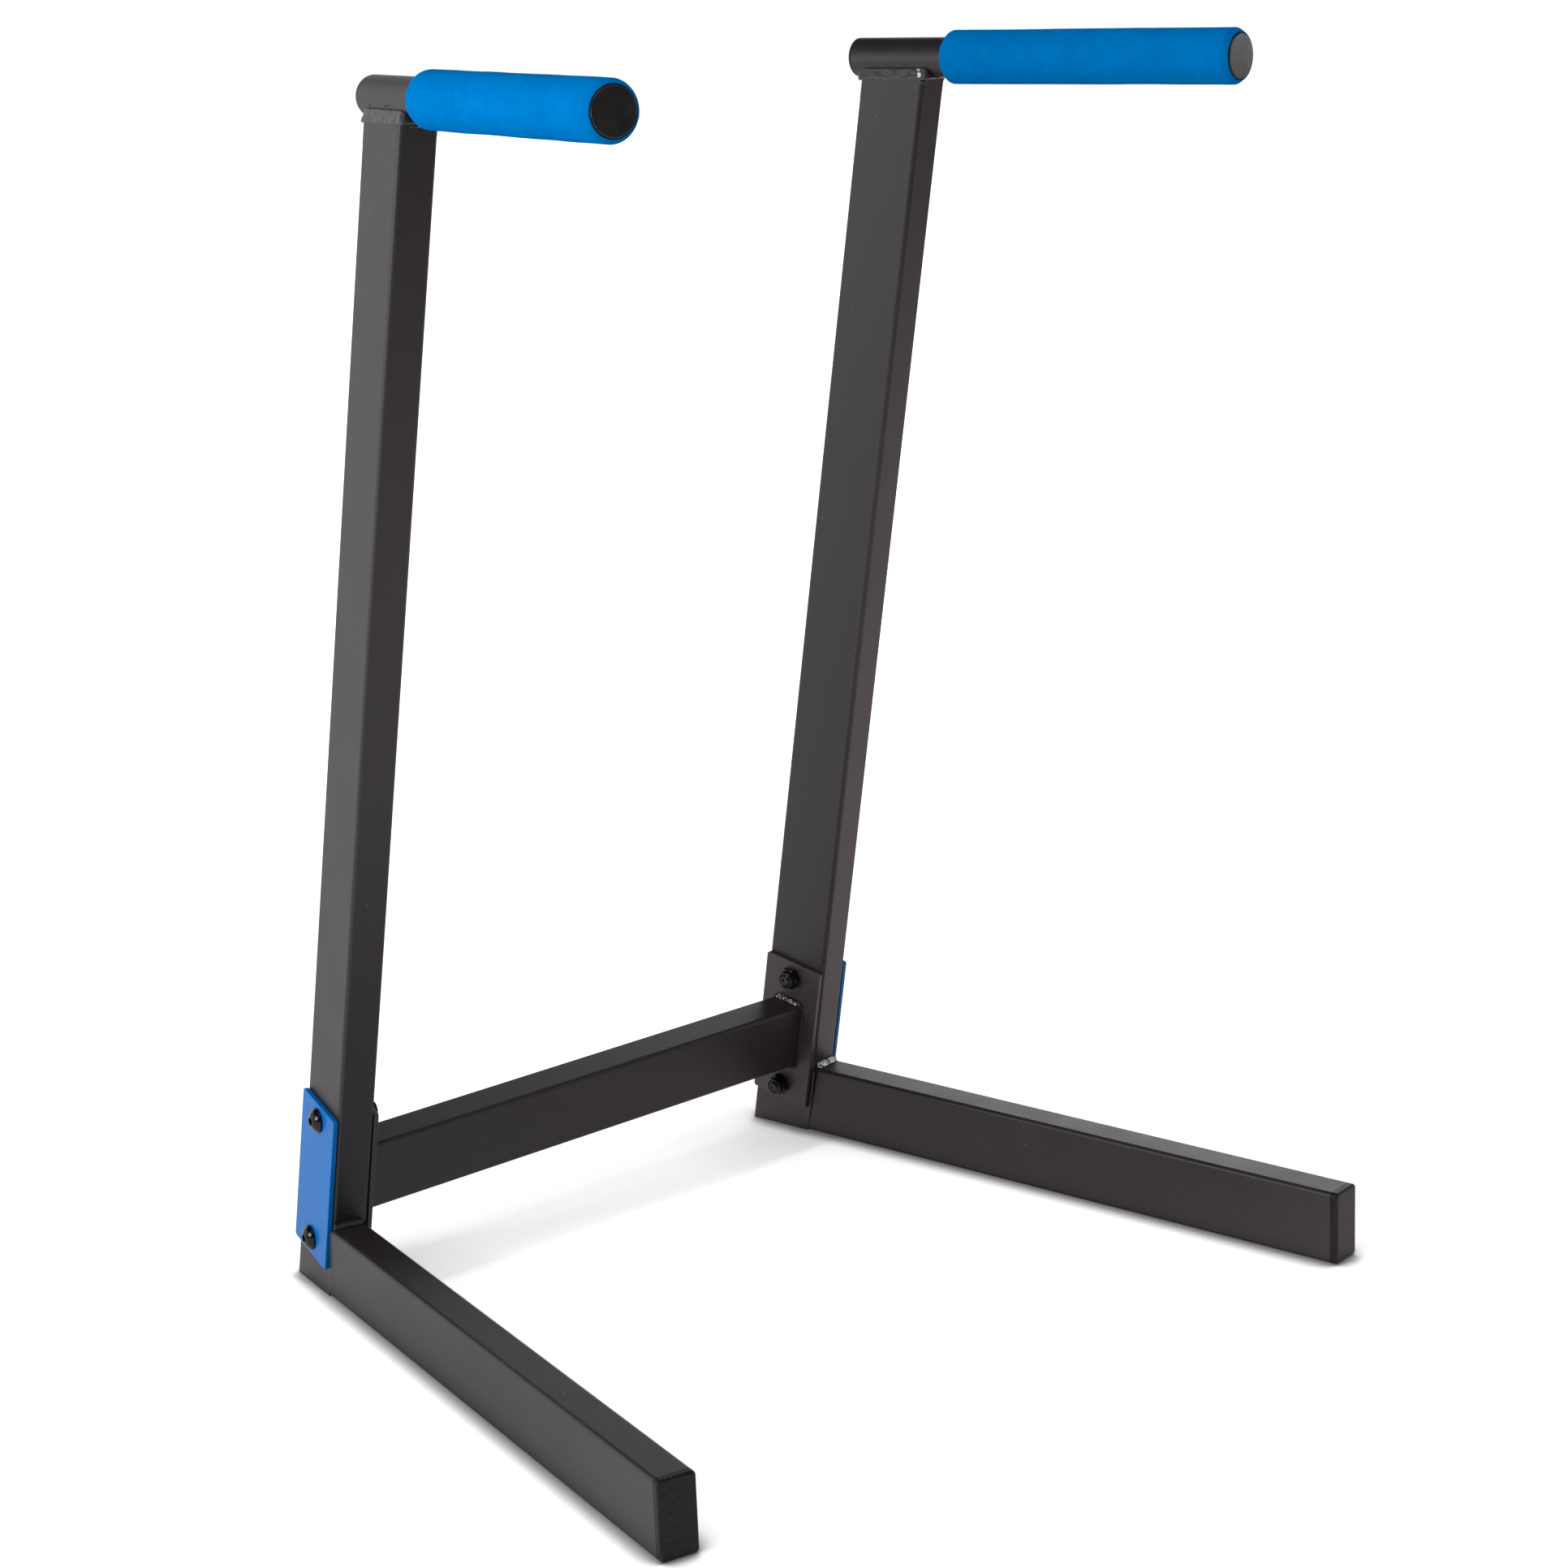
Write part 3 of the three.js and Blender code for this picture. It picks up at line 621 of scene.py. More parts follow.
def build_specks():
    """Scattered dots, one in each cell of Spacing millimetres for a Share of the cells."""
    least, spread, core = 0.35, 0.6, 0.55
    inputs = {"Spacing": 12.0, "Dot": 0.8, "Share": 0.4}
    tree, given = new_group("scattered_specks", inputs, "Mask")
    at = {"Vector": given["Vector"], "Scale": per_metre(tree, given["Spacing"])}
    cells = put(tree, "ShaderNodeTexVoronoi", at).outputs
    chance = put(tree, "ShaderNodeSeparateColor", {0: cells["Color"]}).outputs
    reach = compute(tree, "DIVIDE", given["Dot"], given["Spacing"])
    size = compute(tree, "MULTIPLY_ADD", chance[1], spread, least)
    reach = multiply(tree, reach, size)
    inner = multiply(tree, reach, core)
    dot = fit_range(tree, cells["Distance"], inner, reach, 1.0, 0.0)
    chosen = compute(tree, "LESS_THAN", chance[0], given["Share"])
    return finish_group(tree, multiply(tree, dot, chosen))


def build_grain():
    """Height of a fine pebbled skin, with grains about Size millimetres across."""
    slowness = 0.22
    tree, given = new_group("pebbled_grain", {"Size": 1.0, "Swell": 0.4}, "Height")
    scale = per_metre(tree, given["Size"])
    fine = noise_field(tree, given["Vector"], scale, 2.0)
    slow = noise_field(tree, given["Vector"], multiply(tree, scale, slowness), 1.0)
    swell = multiply(tree, slow, given["Swell"])
    return finish_group(tree, compute(tree, "ADD", fine, swell))


def build_bare_metal_and_glints():
    """Broken bright flecks, bare steel and painted glints, where the piece is marked, and a few
    elsewhere.
    """
    reach, edge = 0.5, (0.88, 0.98)
    tree, given = new_group("bare_metal_and_glints", {"Patch": 2.4, "Everywhere": 0.0}, "Mask")
    patches = noise_field(tree, given["Vector"], per_metre(tree, given["Patch"]), 3.0, 0.6)
    marked = put(tree, "ShaderNodeAttribute", attribute_name="bare_and_glint").outputs["Fac"]
    bare_and_glint = compute(tree, "MAXIMUM", marked, given["Everywhere"])
    level = compute(tree, "MULTIPLY_ADD", bare_and_glint, reach, patches)
    return finish_group(tree, fit_range(tree, level, *edge))


def build_edge_wear_and_highlight():
    """Where the coat is thin and an edge highlight is painted: the marked roundings, broken up by
    noise.
    """
    edge = (0.4, 0.62)
    tree, given = new_group("edge_wear_and_highlight", {"Patch": 9.0}, "Mask")
    patches = noise_field(tree, given["Vector"], per_metre(tree, given["Patch"]), 5.0, 0.6)
    worn_and_highlight = put(tree, "ShaderNodeAttribute", attribute_name="worn_and_highlight").outputs["Fac"]
    return finish_group(tree, multiply(tree, worn_and_highlight, fit_range(tree, patches, *edge)))


CLOUDS = build_clouds()
SPECKS = build_specks()
GRAIN = build_grain()
EDGE_WEAR_AND_HIGHLIGHT = build_edge_wear_and_highlight()
BARE_METAL_AND_GLINTS = build_bare_metal_and_glints()


# Finishes


def start_material(name, **settings):
    """A new material with its Principled shader set, and the object's own coordinates."""
    material = bpy.data.materials.new(name)
    material.use_nodes = True
    tree = material.node_tree
    shader = tree.nodes["Principled BSDF"]
    for label, value in settings.items():
        shader.inputs[label.replace("_", " ")].default_value = value
    coordinates = put(tree, "ShaderNodeTexCoord").outputs["Object"]
    return material, tree, shader, coordinates


def add_bump(tree, shader, height, depth):
    """Raises the surface by the height, depth millimetres at most."""
    inputs = {"Height": height, "Distance": depth * MM, "Strength": 1.0}
    bump = put(tree, "ShaderNodeBump", inputs)
    tree.links.new(bump.outputs[0], shader.inputs["Normal"])


def coated_steel(
    name,
    dark,
    light,
    speck_and_glint=COAT_SPECK,
    thin_coat_and_highlight=THIN_COAT_AND_EDGE_HIGHLIGHT,
    roughness=(0.42, 0.47),
    ior=1.5,
    patch=45.0,
    specks=0.5,
    wear_and_highlight=0.12,
    grain=1.1,
    depth=0.035,
    bare_and_glint=0.0,
    fleck=0.0,
):
    """Powder coat: cloudy tone, pebbled skin, pale specks (white ones painted glints), thin edges
    with a painted highlight, and bare flecks that are partly painted glints.
    """
    material, tree, shader, at = start_material(name, IOR=ior)
    patches = use(tree, CLOUDS, at, Size=patch, Low=0.25, High=0.75)
    streaks = use(tree, CLOUDS, at, Size=7.0, Low=0.25, High=0.75)
    tone = blend_values(tree, 0.3, streaks, patches)
    colour = blend_colour(tree, tone, dark, light)
    # Roundings take the thin coat's colour: wear and a painted edge highlight
    colour = lay_over(tree, colour, use(tree, EDGE_WEAR_AND_HIGHLIGHT, at), wear_and_highlight, thin_coat_and_highlight)
    dots = use(tree, SPECKS, at, Spacing=11.0, Dot=0.9, Share=0.3)
    dust = use(tree, SPECKS, at, Spacing=3.2, Dot=0.45, Share=0.25)
    dots = compute(tree, "MAXIMUM", dots, multiply(tree, dust, 0.45))
    colour = lay_over(tree, colour, dots, specks, speck_and_glint)
    # Bright flecks: bare steel, and painted glints on the welds
    if bare_and_glint:
        flecks = use(tree, BARE_METAL_AND_GLINTS, at, Everywhere=bare_and_glint, Patch=fleck)
        colour = blend_colour(tree, flecks, colour, BARE_STEEL_AND_GLINT)
        tree.links.new(multiply(tree, flecks, 0.25), shader.inputs["Metallic"])
    tree.links.new(colour, shader.inputs["Base Color"])
    rough = fit_range(tree, tone, 0.0, 1.0, *roughness)
    tree.links.new(rough, shader.inputs["Roughness"])
    add_bump(tree, shader, use(tree, GRAIN, at, Size=grain, Swell=0.9), depth)
    return material


def foam_skin(name, deep, base, pale):
    """Closed-cell foam: mottled matte skin with fine pores."""
    material, tree, shader, at = start_material(
        name, Specular_IOR_Level=0.0, Roughness=0.92
    )
    mottle = use(tree, CLOUDS, at, Size=9.0, Low=0.32, High=0.68)
    blotch = use(tree, CLOUDS, at, Size=38.0, Low=0.3, High=0.7)
    colour = blend_colour(tree, blend_values(tree, 0.45, blotch, mottle), base, pale)
    pores = use(tree, SPECKS, at, Spacing=1.5, Dot=0.75, Share=0.55)
    colour = lay_over(tree, colour, pores, 0.14, deep)
    colour = lay_over(tree, colour, use(tree, EDGE_WEAR_AND_HIGHLIGHT, at, Patch=5.0), 0.35, pale)
    tree.links.new(colour, shader.inputs["Base Color"])
    grain = use(tree, GRAIN, at, Size=1.3, Swell=1.6)
    height = compute(tree, "SUBTRACT", grain, multiply(tree, pores, 0.4))
    add_bump(tree, shader, height, 0.12)
    return material


def moulded_plastic(name, dark, light, grain, depth, roughness, ior=1.46):
    """Grained black moulding with scuffed edges."""
    material, tree, shader, at = start_material(name, IOR=ior)
    patches = use(tree, CLOUDS, at, Size=16.0, Low=0.2, High=0.8)
    colour = blend_colour(tree, patches, dark, light)
    wear_and_highlight = use(tree, EDGE_WEAR_AND_HIGHLIGHT, at, Patch=3.0)
    colour = lay_over(tree, colour, wear_and_highlight, 0.2, PLASTIC_SCUFF)
    dust = use(tree, SPECKS, at, Spacing=2.2, Dot=0.4, Share=0.25)
    colour = lay_over(tree, colour, dust, 0.2, PLASTIC_DUST)
    tree.links.new(colour, shader.inputs["Base Color"])
    rough = fit_range(tree, patches, 0.0, 1.0, *roughness)
    tree.links.new(rough, shader.inputs["Roughness"])
    add_bump(tree, shader, use(tree, GRAIN, at, Size=grain, Swell=0.5), depth)
    return material


powder_coat = coated_steel(
    "powder_coat",
    dark=(0.0155, 0.0112, 0.0135, 1),
    light=(0.0215, 0.0160, 0.0190, 1),
)
# The flanges' black coat, painted lighter to stand in for the light on them
flange_coat_painted_lighter = coated_steel(
    "flange_coat_painted_lighter",
    dark=(0.040, 0.0315, 0.0335, 1),
    light=(0.049, 0.0390, 0.0415, 1),
)
weld_coat = coated_steel(
    "weld_coat",
    dark=(0.012, 0.0095, 0.011, 1),
    light=(0.022, 0.0175, 0.020, 1),
    # White specks on the bead: painted glints
    speck_and_glint=(0.75, 0.73, 0.70, 1),
    thin_coat_and_highlight=(0.1, 0.1, 0.1, 1),
    roughness=(0.3, 0.4),
    grain=1.4,
    depth=0.05,
    patch=5.0,
    bare_and_glint=0.1,
    fleck=1.8,
)
# The handles' welds: the weld coat painted lighter, standing in for the light on the bead
handle_weld_coat_painted_lighter = coated_steel(
    "handle_weld_coat_painted_lighter",
    dark=(0.030, 0.0265, 0.0285, 1),
    light=(0.046, 0.0415, 0.0445, 1),
    roughness=(0.34, 0.44),
    grain=1.4,
    depth=0.05,
    patch=5.0,
    bare_and_glint=0.1,
    fleck=1.3,
)
blue_coat = coated_steel(
    "blue_coat",
    dark=(0.0, 0.160, 0.54, 1),
    light=(0.0, 0.180, 0.61, 1),
    speck_and_glint=(0.15, 0.40, 0.8, 1),
    # Lighter blue roundings: wear and a painted edge highlight
    thin_coat_and_highlight=(0.03, 0.2, 0.6, 1),
    roughness=(0.2, 0.25),
    ior=1.21,
    specks=0.15,
    wear_and_highlight=0.2,
)
black_steel = coated_steel(
    "black_steel",
    dark=(0.004, 0.003, 0.0035, 1),
    light=(0.009, 0.0065, 0.0075, 1),
    speck_and_glint=(0.2, 0.19, 0.19, 1),
    thin_coat_and_highlight=(0.06, 0.055, 0.055, 1),
    roughness=(0.08, 0.14),
    ior=1.38,
    specks=0.2,
    grain=0.8,
    depth=0.006,
    patch=8.0,
)
blue_foam = foam_skin(
    "blue_foam",
    deep=(0.0, 0.10, 0.33, 1),
    base=(0.0, 0.203, 0.61, 1),
    pale=(0.0, 0.242, 0.71, 1),
)
cap_plastic = moulded_plastic(
    "black_plastic",
    dark=(0.0075, 0.0064, 0.0074, 1),
    light=(0.0095, 0.0082, 0.0094, 1),
    grain=0.8,
    depth=0.006,
    roughness=(0.42, 0.46),
    ior=1.3,
)
# The plugs' black plastic, painted lighter to stand in for the sheen on them
plug_plastic_painted_sheen = moulded_plastic(
    "grained_plug_plastic_painted_sheen",
    dark=(0.019, 0.0178, 0.0192, 1),
    light=(0.036, 0.034, 0.0365, 1),
    grain=0.9,
    depth=0.05,
    roughness=(0.26, 0.33),
)
black_nylon = moulded_plastic(
    "black_nylon",
    dark=(0.014, 0.014, 0.015, 1),
    light=(0.022, 0.022, 0.024, 1),
    grain=0.6,
    depth=0.02,
    roughness=(0.3, 0.42),
)


# Tubes


def hollow_bar(name, low, high, axis):
    """Rectangular tube blank with rounded corners, open at both ends."""
    bar = block(name, low, high)
    round_edges(bar, TUBE_CORNER, CORNER_STEPS, along(axis))
    pick(bar, "FACE", lambda centre, normal: abs(normal[axis]) > ALIGNED)
    bpy.ops.mesh.delete(type="FACE")
    close(bar)
    wall = {"thickness": TUBE_WALL, "offset": -1, "use_even_offset": True}
    return apply_modifier(bar, "SOLIDIFY", use_rim=False, **wall)


def drill(piece, low, high, y, z):
    """Drills a bolt hole along X, past both ends of its range."""
    low, high = low - DRILL_SPARE, high + DRILL_SPARE
    bpy.ops.mesh.primitive_cylinder_add(
        vertices=DRILL_STEPS,
        radius=BOLT_RADIUS + HOLE_CLEARANCE,
        depth=high - low,
        location=((low + high) / 2, y, z),
        rotation=(0, math.pi / 2, 0),
    )
    return cut(piece, settle(bpy.context.object))


def make_upright(side, label):
    """Upright, open at the bottom, its top cut level under the handle tube."""
    home = upright_frame(side)
    half = TUBE_WIDTH / 2
    low, high = UPRIGHT_BLANK
    bar = hollow_bar(f"{label}_upright", (-half, -TUBE_DEPTH, low), (half, 0, high), 2)
    to_local = home.inverted()
    up = to_local.to_3x3() @ Vector((0, 0, 1))
    top = HANDLE_HEIGHT - HANDLE_RADIUS - GAP
    saw(bar, to_local @ Vector((0, 0, FLOOR_LIFT)), -up)
    saw(bar, to_local @ Vector((0, 0, top)), up)
    for offset in BOLT_OFFSETS.values():
        drill(bar, -half, half, -TUBE_DEPTH / 2, PLATE_HEIGHT + offset)
    return finish(bar, home, powder_coat, "powder_coat", f"{label}_upright_tube")


def make_leg(side, label):
    """Base leg, its rear end cut to the upright's front face."""
    home = side_frame(side)
    half = TUBE_WIDTH / 2
    front = -(LEG_REACH - CAP_FLANGE - GAP)
    low = (-half, front - LEG_BLANK_SPARE, FLOOR_LIFT)
    leg = hollow_bar(f"{label}_leg", low, (half, 0, TUBE_DEPTH), 1)
    upright = home.inverted() @ upright_frame(side)
    ahead = upright.to_3x3() @ Vector((0, -1, 0))
    saw(leg, upright @ Vector((0, -TUBE_DEPTH, 0)) + ahead * GAP, -ahead)
    saw(leg, (0, front, 0), (0, -1, 0))
    return finish(leg, home, powder_coat, "powder_coat", f"{label}_leg_tube")


def make_crossbar():
    """Crossbar, both ends cut to the flanges that it is welded to."""
    home = bar_frame()
    corner = Vector((BAR_BLANK_HALF, TUBE_WIDTH / 2, TUBE_DEPTH / 2))
    bar = hollow_bar("crossbar", -corner, corner, 0)
    for side in SIDES.values():
        joint = home.inverted() @ upright_frame(side)
        outward = joint.to_3x3() @ Vector((side, 0, 0))
        end = Vector((-side * (PLATE_FACE + GAP), -TUBE_DEPTH / 2, PLATE_HEIGHT))
        saw(bar, joint @ end, outward)
    return finish(bar, home, powder_coat, "powder_coat", "crossbar_tube")


def make_cap(side, label):
    """Leg cap: a flange with rounded edges and a hollow spigot in the tube."""
    half = TUBE_WIDTH / 2
    back, front = -(LEG_REACH - CAP_FLANGE), -LEG_REACH
    cap = block(f"{label}_cap", (-half, front, FLOOR_LIFT), (half, back, TUBE_DEPTH))
    round_edges(cap, TUBE_CORNER, CORNER_STEPS, along(1))
    round_edges(cap, CAP_EDGE, CAP_EDGE_STEPS, lambda a, b: max(a.y, b.y) < front + NEAR)
    pick(cap, "FACE", lambda centre, normal: normal.y > ALIGNED)
    for inset, travel in ((TUBE_WALL + GAP, CAP_SPIGOT), (CAP_WALL, -CAP_SPIGOT)):
        bpy.ops.mesh.inset(thickness=inset)
        move = {"value": (0, travel, 0)}
        bpy.ops.mesh.extrude_region_move(TRANSFORM_OT_translate=move)
    close(cap)
    home = side_frame(side)
    return finish(cap, home, cap_plastic, "black_plastic", f"{label}_leg_end_cap")


# Handles


def along_handle(side, station):
    """The frame of a piece turned on Z, which then runs forwards from a station."""
    turn = Matrix.Rotation(math.pi / 2, 4, "X")
    return handle_frame(side) @ Matrix.Translation((0, station, 0)) @ turn


def make_handle_tube(side, label):
    """Round tube with eased ends."""
    length = HANDLE_REAR - HANDLE_FRONT
    inner = HANDLE_RADIUS - HANDLE_WALL
    outline = rounded_outline(
        [
            (inner, 0, 0.3),
            (HANDLE_RADIUS, 0, 0.6),
            (HANDLE_RADIUS, length, 0.6),
            (inner, length, 0.3),
        ]
    )
    tube = turned(f"{label}_handle", outline, HANDLE_STEPS, closed=True)
    home = along_handle(side, HANDLE_REAR)
    return finish(tube, home, powder_coat, "powder_coat", f"{label}_handle_tube", 40)


def plug_blank(name, radius, flange, edge):
    """Slightly crowned flange, its face at the top, and a hollow spigot behind it."""
    outer = HANDLE_RADIUS - HANDLE_WALL - GAP
    inner = outer - PLUG_WALL
    outline = rounded_outline(
        [
            (POLE, -PLUG_HOLLOW, 0),
            (inner, -PLUG_HOLLOW, 0.4),
            (inner, -PLUG_SPIGOT, 0.3),
            (outer, -PLUG_SPIGOT, 0.5),
            (outer, 0, 0),
            (radius, 0, 0.3),
            (radius, flange, edge),
            (radius * 0.55, flange + 0.12, 0),
            (POLE, flange + 0.15, 0),
        ],
        5,
    )
    return turned(name, outline, HANDLE_STEPS)


def make_front_plug(side, label):
    """Plug in the tube's front end, its flange sunk in the grip."""
    plug = plug_blank(f"{label}_front_plug", PLUG_RADIUS, PLUG_FLANGE, PLUG_EDGE)
    home = along_handle(side, HANDLE_FRONT - GAP)
    node = f"{label}_handle_front_plug"
    return finish(plug, home, plug_plastic_painted_sheen, "black_plastic", node, 40)


def make_rear_plug(side, label):
    """Thin plug in the tube's rear end."""
    name = f"{label}_rear_plug"
    plug = plug_blank(name, HANDLE_RADIUS, REAR_PLUG_FLANGE, REAR_PLUG_EDGE)
    home = along_handle(side, HANDLE_REAR + GAP) @ Matrix.Rotation(math.pi, 4, "X")
    node = f"{label}_handle_rear_plug"
    return finish(plug, home, plug_plastic_painted_sheen, "black_plastic", node, 40)


def grip_outline(pocket):
    """Sleeve with bevelled ends and a pocket for the front plug, closely ringed between."""
    bore = HANDLE_RADIUS + GAP
    pocket_floor = GRIP_LENGTH - (PLUG_FLANGE - PLUG_PROUD + GAP)
    start = GRIP_CHAMFER + 1
    ring = (GRIP_LENGTH - 2 * start) / GRIP_RINGS
    return rounded_outline(
        [
            (bore, 0.4, 0.3),
            (GRIP_RADIUS - GRIP_CHAMFER, 0, 0.7),
            (GRIP_RADIUS, GRIP_CHAMFER, 1.6),
            *((GRIP_RADIUS, start + step * ring, 0) for step in range(1, GRIP_RINGS)),
            (GRIP_RADIUS, GRIP_LENGTH - GRIP_CHAMFER + 0.8, 3.0),
            (pocket + 0.9, GRIP_LENGTH, 0.9),
            (pocket, GRIP_LENGTH, 0.3),
            (pocket, pocket_floor, 0.2),
            (bore, pocket_floor, 0.2),
        ],
        6,
    )


def make_grip(side, label):
    """Foam sleeve with a slightly uneven skin."""
    pocket = PLUG_RADIUS + POCKET_GAP
    grip = turned(f"{label}_grip", grip_outline(pocket), GRIP_STEPS, closed=True)
    shift = Vector((side * 40, 11, 5))
    for vertex in grip.data.vertices:
        spot = vertex.co
        radius = math.hypot(spot.x, spot.y)
        if radius < pocket + 0.5:
            continue
        swell = sum(noise.noise(spot / wave + shift) * rise for wave, rise in SKIN_WAVES)
        out = Vector((spot.x, spot.y, 0)) / radius
        vertex.co = spot + out * (swell - SKIN_SINK)
    home = along_handle(side, GRIP_REAR)
    finish(grip, home, blue_foam, "blue_foam", f"{label}_foam_grip", 60)
    return grip


# Bolted joint


def joint_plate(name):
    """Steel plate with rounded corners and two bolt holes."""
    half_width, half_length = PLATE_WIDTH / 2, PLATE_LENGTH / 2
    low = (PLATE_SEAT, -half_width, -half_length)
    plate = block(name, low, (PLATE_FACE, half_width, half_length))
    round_edges(plate, PLATE_CORNER, CORNER_STEPS, along(0))
    round_edges(plate, PLATE_EDGE, PLATE_EDGE_STEPS, lambda a, b: abs(a.x - b.x) < NEAR)
    for offset in BOLT_OFFSETS.values():
        drill(plate, PLATE_SEAT, PLATE_FACE, 0, offset)
    return plate


def make_outer_plate(side, label):
    """Blue plate on the upright's outer face."""
    plate = joint_plate(f"{label}_outer_plate_coated")
    home = joint_frame(side)
    return finish(plate, home, blue_coat, "blue_coat", f"{label}_outer_plate")


def make_flange(side, label):
    """Black plate on the upright's inner face, which carries the crossbar."""
    flange = joint_plate(f"{label}_inner_flange")
    home = joint_frame(side, outward=-1)
    return finish(flange, home, flange_coat_painted_lighter, "powder_coat", f"{label}_crossbar_flange")


def dome_outline(rim, top):
    """The head's round, from its rim to the flat round the socket."""
    rise = top - rim
    drop = (HEAD_RADIUS**2 - HEAD_FLAT**2 - rise**2) / (2 * rise)
    ball = math.hypot(HEAD_RADIUS, drop)
    start = math.atan2(drop, HEAD_RADIUS)
    end = math.atan2(drop + rise, HEAD_FLAT)
    outline = []
    for step in range(1, DOME_STEPS):
        angle = start + (end - start) * step / DOME_STEPS
        outline.append((ball * math.cos(angle), rim - drop + ball * math.sin(angle), 0))
    return outline


def hexagon(flats, depth, height, turn=0.0):
    """A hexagonal bar about Z, its middle at a height."""
    bpy.ops.mesh.primitive_cylinder_add(
        vertices=6,
        radius=flats / 2 / math.cos(math.pi / 6),
        depth=depth,
        location=(0, 0, height),
        rotation=(0, 0, turn),
    )
    return settle(bpy.context.object)


def across_joint(side, level, outward, seat=0.0, turn=0.0):
    """The frame of a piece turned on Z, which then runs out of the joint from its seat."""
    joint = joint_frame(side, PLATE_HEIGHT + BOLT_OFFSETS[level], outward)
    turned_out = Matrix.Rotation(math.pi / 2, 4, "Y") @ Matrix.Rotation(turn, 4, "Z")
    return joint @ Matrix.Translation((seat, 0, 0)) @ turned_out


def make_bolt(side, label, level):
    """Button head with its hexagon socket, and a threaded end."""
    seat = PLATE_FACE + GAP
    rim, top = seat + HEAD_RIM, seat + HEAD_HEIGHT
    root = BOLT_RADIUS - THREAD_DEPTH
    thread_start = -BOLT_TIP + 0.5
    thread = []
    for turn in range(THREAD_TURNS):
        start = thread_start + turn * THREAD_PITCH
        thread += [(root, start, 0), (BOLT_RADIUS, start + THREAD_PITCH / 2, 0)]
    outline = rounded_outline(
        [
            (POLE, -BOLT_TIP + 0.35, 0),
            (1.6, -BOLT_TIP + 0.3, 0),
            (2.0, -BOLT_TIP, 0),
            (BOLT_RADIUS - 0.9, -BOLT_TIP, 0.2),
            *thread,
            (BOLT_RADIUS, thread_start + THREAD_TURNS * THREAD_PITCH, 0),
            (BOLT_RADIUS, seat, 0),
            (HEAD_RADIUS - 0.25, seat, 0),
            (HEAD_RADIUS, seat + 0.3, 0),
            (HEAD_RADIUS, rim, 0.4),
            *dome_outline(rim, top),
            (HEAD_FLAT, top, 0.35),
            (POLE, top, 0),
        ],
        3,
    )
    bolt = turned(f"{label}_{level}_bolt", outline, BOLT_STEPS)
    cut(bolt, hexagon(SOCKET_FLATS, 2 * SOCKET_DEPTH, top, dice.uniform(0, 1)))
    home = across_joint(side, level, 1)
    node = f"{label}_{level}_button_bolt"
    return finish(bolt, home, black_steel, "black_steel", node, 40)


def make_nut(side, label, level):
    """Hexagon with chamfered corners and the round collar that holds the nylon ring."""
    nut = hexagon(NUT_FLATS, NUT_HEX, NUT_HEX / 2)
    nut.name = f"{label}_{level}_nut"
    face = NUT_FLATS / 2 - 0.1
    corner = NUT_FLATS / 2 / math.cos(math.pi / 6) + 0.3
    chamfer = [
        (POLE, -0.001),
        (face, -0.001),
        (corner, NUT_CHAMFER),
        (corner, NUT_HEX - NUT_CHAMFER),
        (face, NUT_HEX + 0.001),
        (POLE, NUT_HEX + 0.001),
    ]
    cut(nut, turned("chamfer", chamfer, NUT_STEPS), "INTERSECT")
    collar = rounded_outline(
        [
            (POLE, NUT_HEX - 1, 0),
            (NUT_COLLAR / 2, NUT_HEX - 1, 0),
            (NUT_COLLAR / 2, NUT_HEIGHT, 1.4),
            (6.0, NUT_HEIGHT, 0.25),
            (5.8, NUT_HEIGHT - 2.1, 0),
            (POLE, NUT_HEIGHT - 2.1, 0),
        ],
        5,
    )
    cut(nut, turned("collar", collar, NUT_STEPS), "UNION")
    radius, low, high = BOLT_RADIUS + HOLE_CLEARANCE, -2, NUT_HEIGHT + 2
    bore = [(POLE, low), (radius, low), (radius, high), (POLE, high)]
    cut(nut, turned("bore", bore, DRILL_STEPS))
    home = across_joint(side, level, -1, PLATE_FACE + GAP, dice.uniform(0, 1))
    return finish(nut, home, black_steel, "black_steel", f"{label}_{level}_lock_nut", 28)


def make_insert(side, label, level):
    """Nylon ring in the nut's collar."""
    inner, outer = RING_RADII
    low, high = RING_DEPTHS
    section = [(inner, low, 0), (outer, low, 0), (outer, high, 0.2), (inner, high, 0.2)]
    outline = rounded_outline(section, 3)
    ring = turned(f"{label}_{level}_nylon_ring", outline, BOLT_STEPS, closed=True)
    home = across_joint(side, level, -1, PLATE_FACE + GAP + NUT_HEIGHT)
    node = f"{label}_{level}_nut_insert"
    return finish(ring, home, black_nylon, "black_nylon", node, 40)


# Weld beads


def bead_from(label, joint, voxel, passes=6, lowest=None):
    """A copy of a weld's solid in millimetres, with an even skin, cut off at its lowest level."""
    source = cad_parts[f"{label}_{joint}_weld"]
    bead = source.copy()
    bead.data = source.data.copy()
    bead.name = f"{label}_{joint}_bead"
    bead.parent = None
    for key in list(bead.keys()):
        del bead[key]
    bpy.context.scene.collection.objects.link(bead)
    bead.matrix_world = Matrix.Scale(1 / MM, 4)
    settle(bead)
    pick(bead, "VERT", every)
    bpy.ops.mesh.remove_doubles(threshold=BEAD_MERGE)
    close(bead)
    if lowest:
        saw(bead, (0, 0, lowest), (0, 0, -1), hollow=False)
    apply_modifier(bead, "REMESH", mode="VOXEL", voxel_size=voxel, adaptivity=0)
    return apply_modifier(bead, "SMOOTH", factor=0.5, iterations=passes)


def finish_bead(bead, material, node):
    """Shades a bead all smooth and dresses it where it is."""
    activate(bead)
    bpy.ops.object.shade_smooth()
    place(bead, Matrix.Identity(4))
    return dress(bead, material, "powder_coat", node)


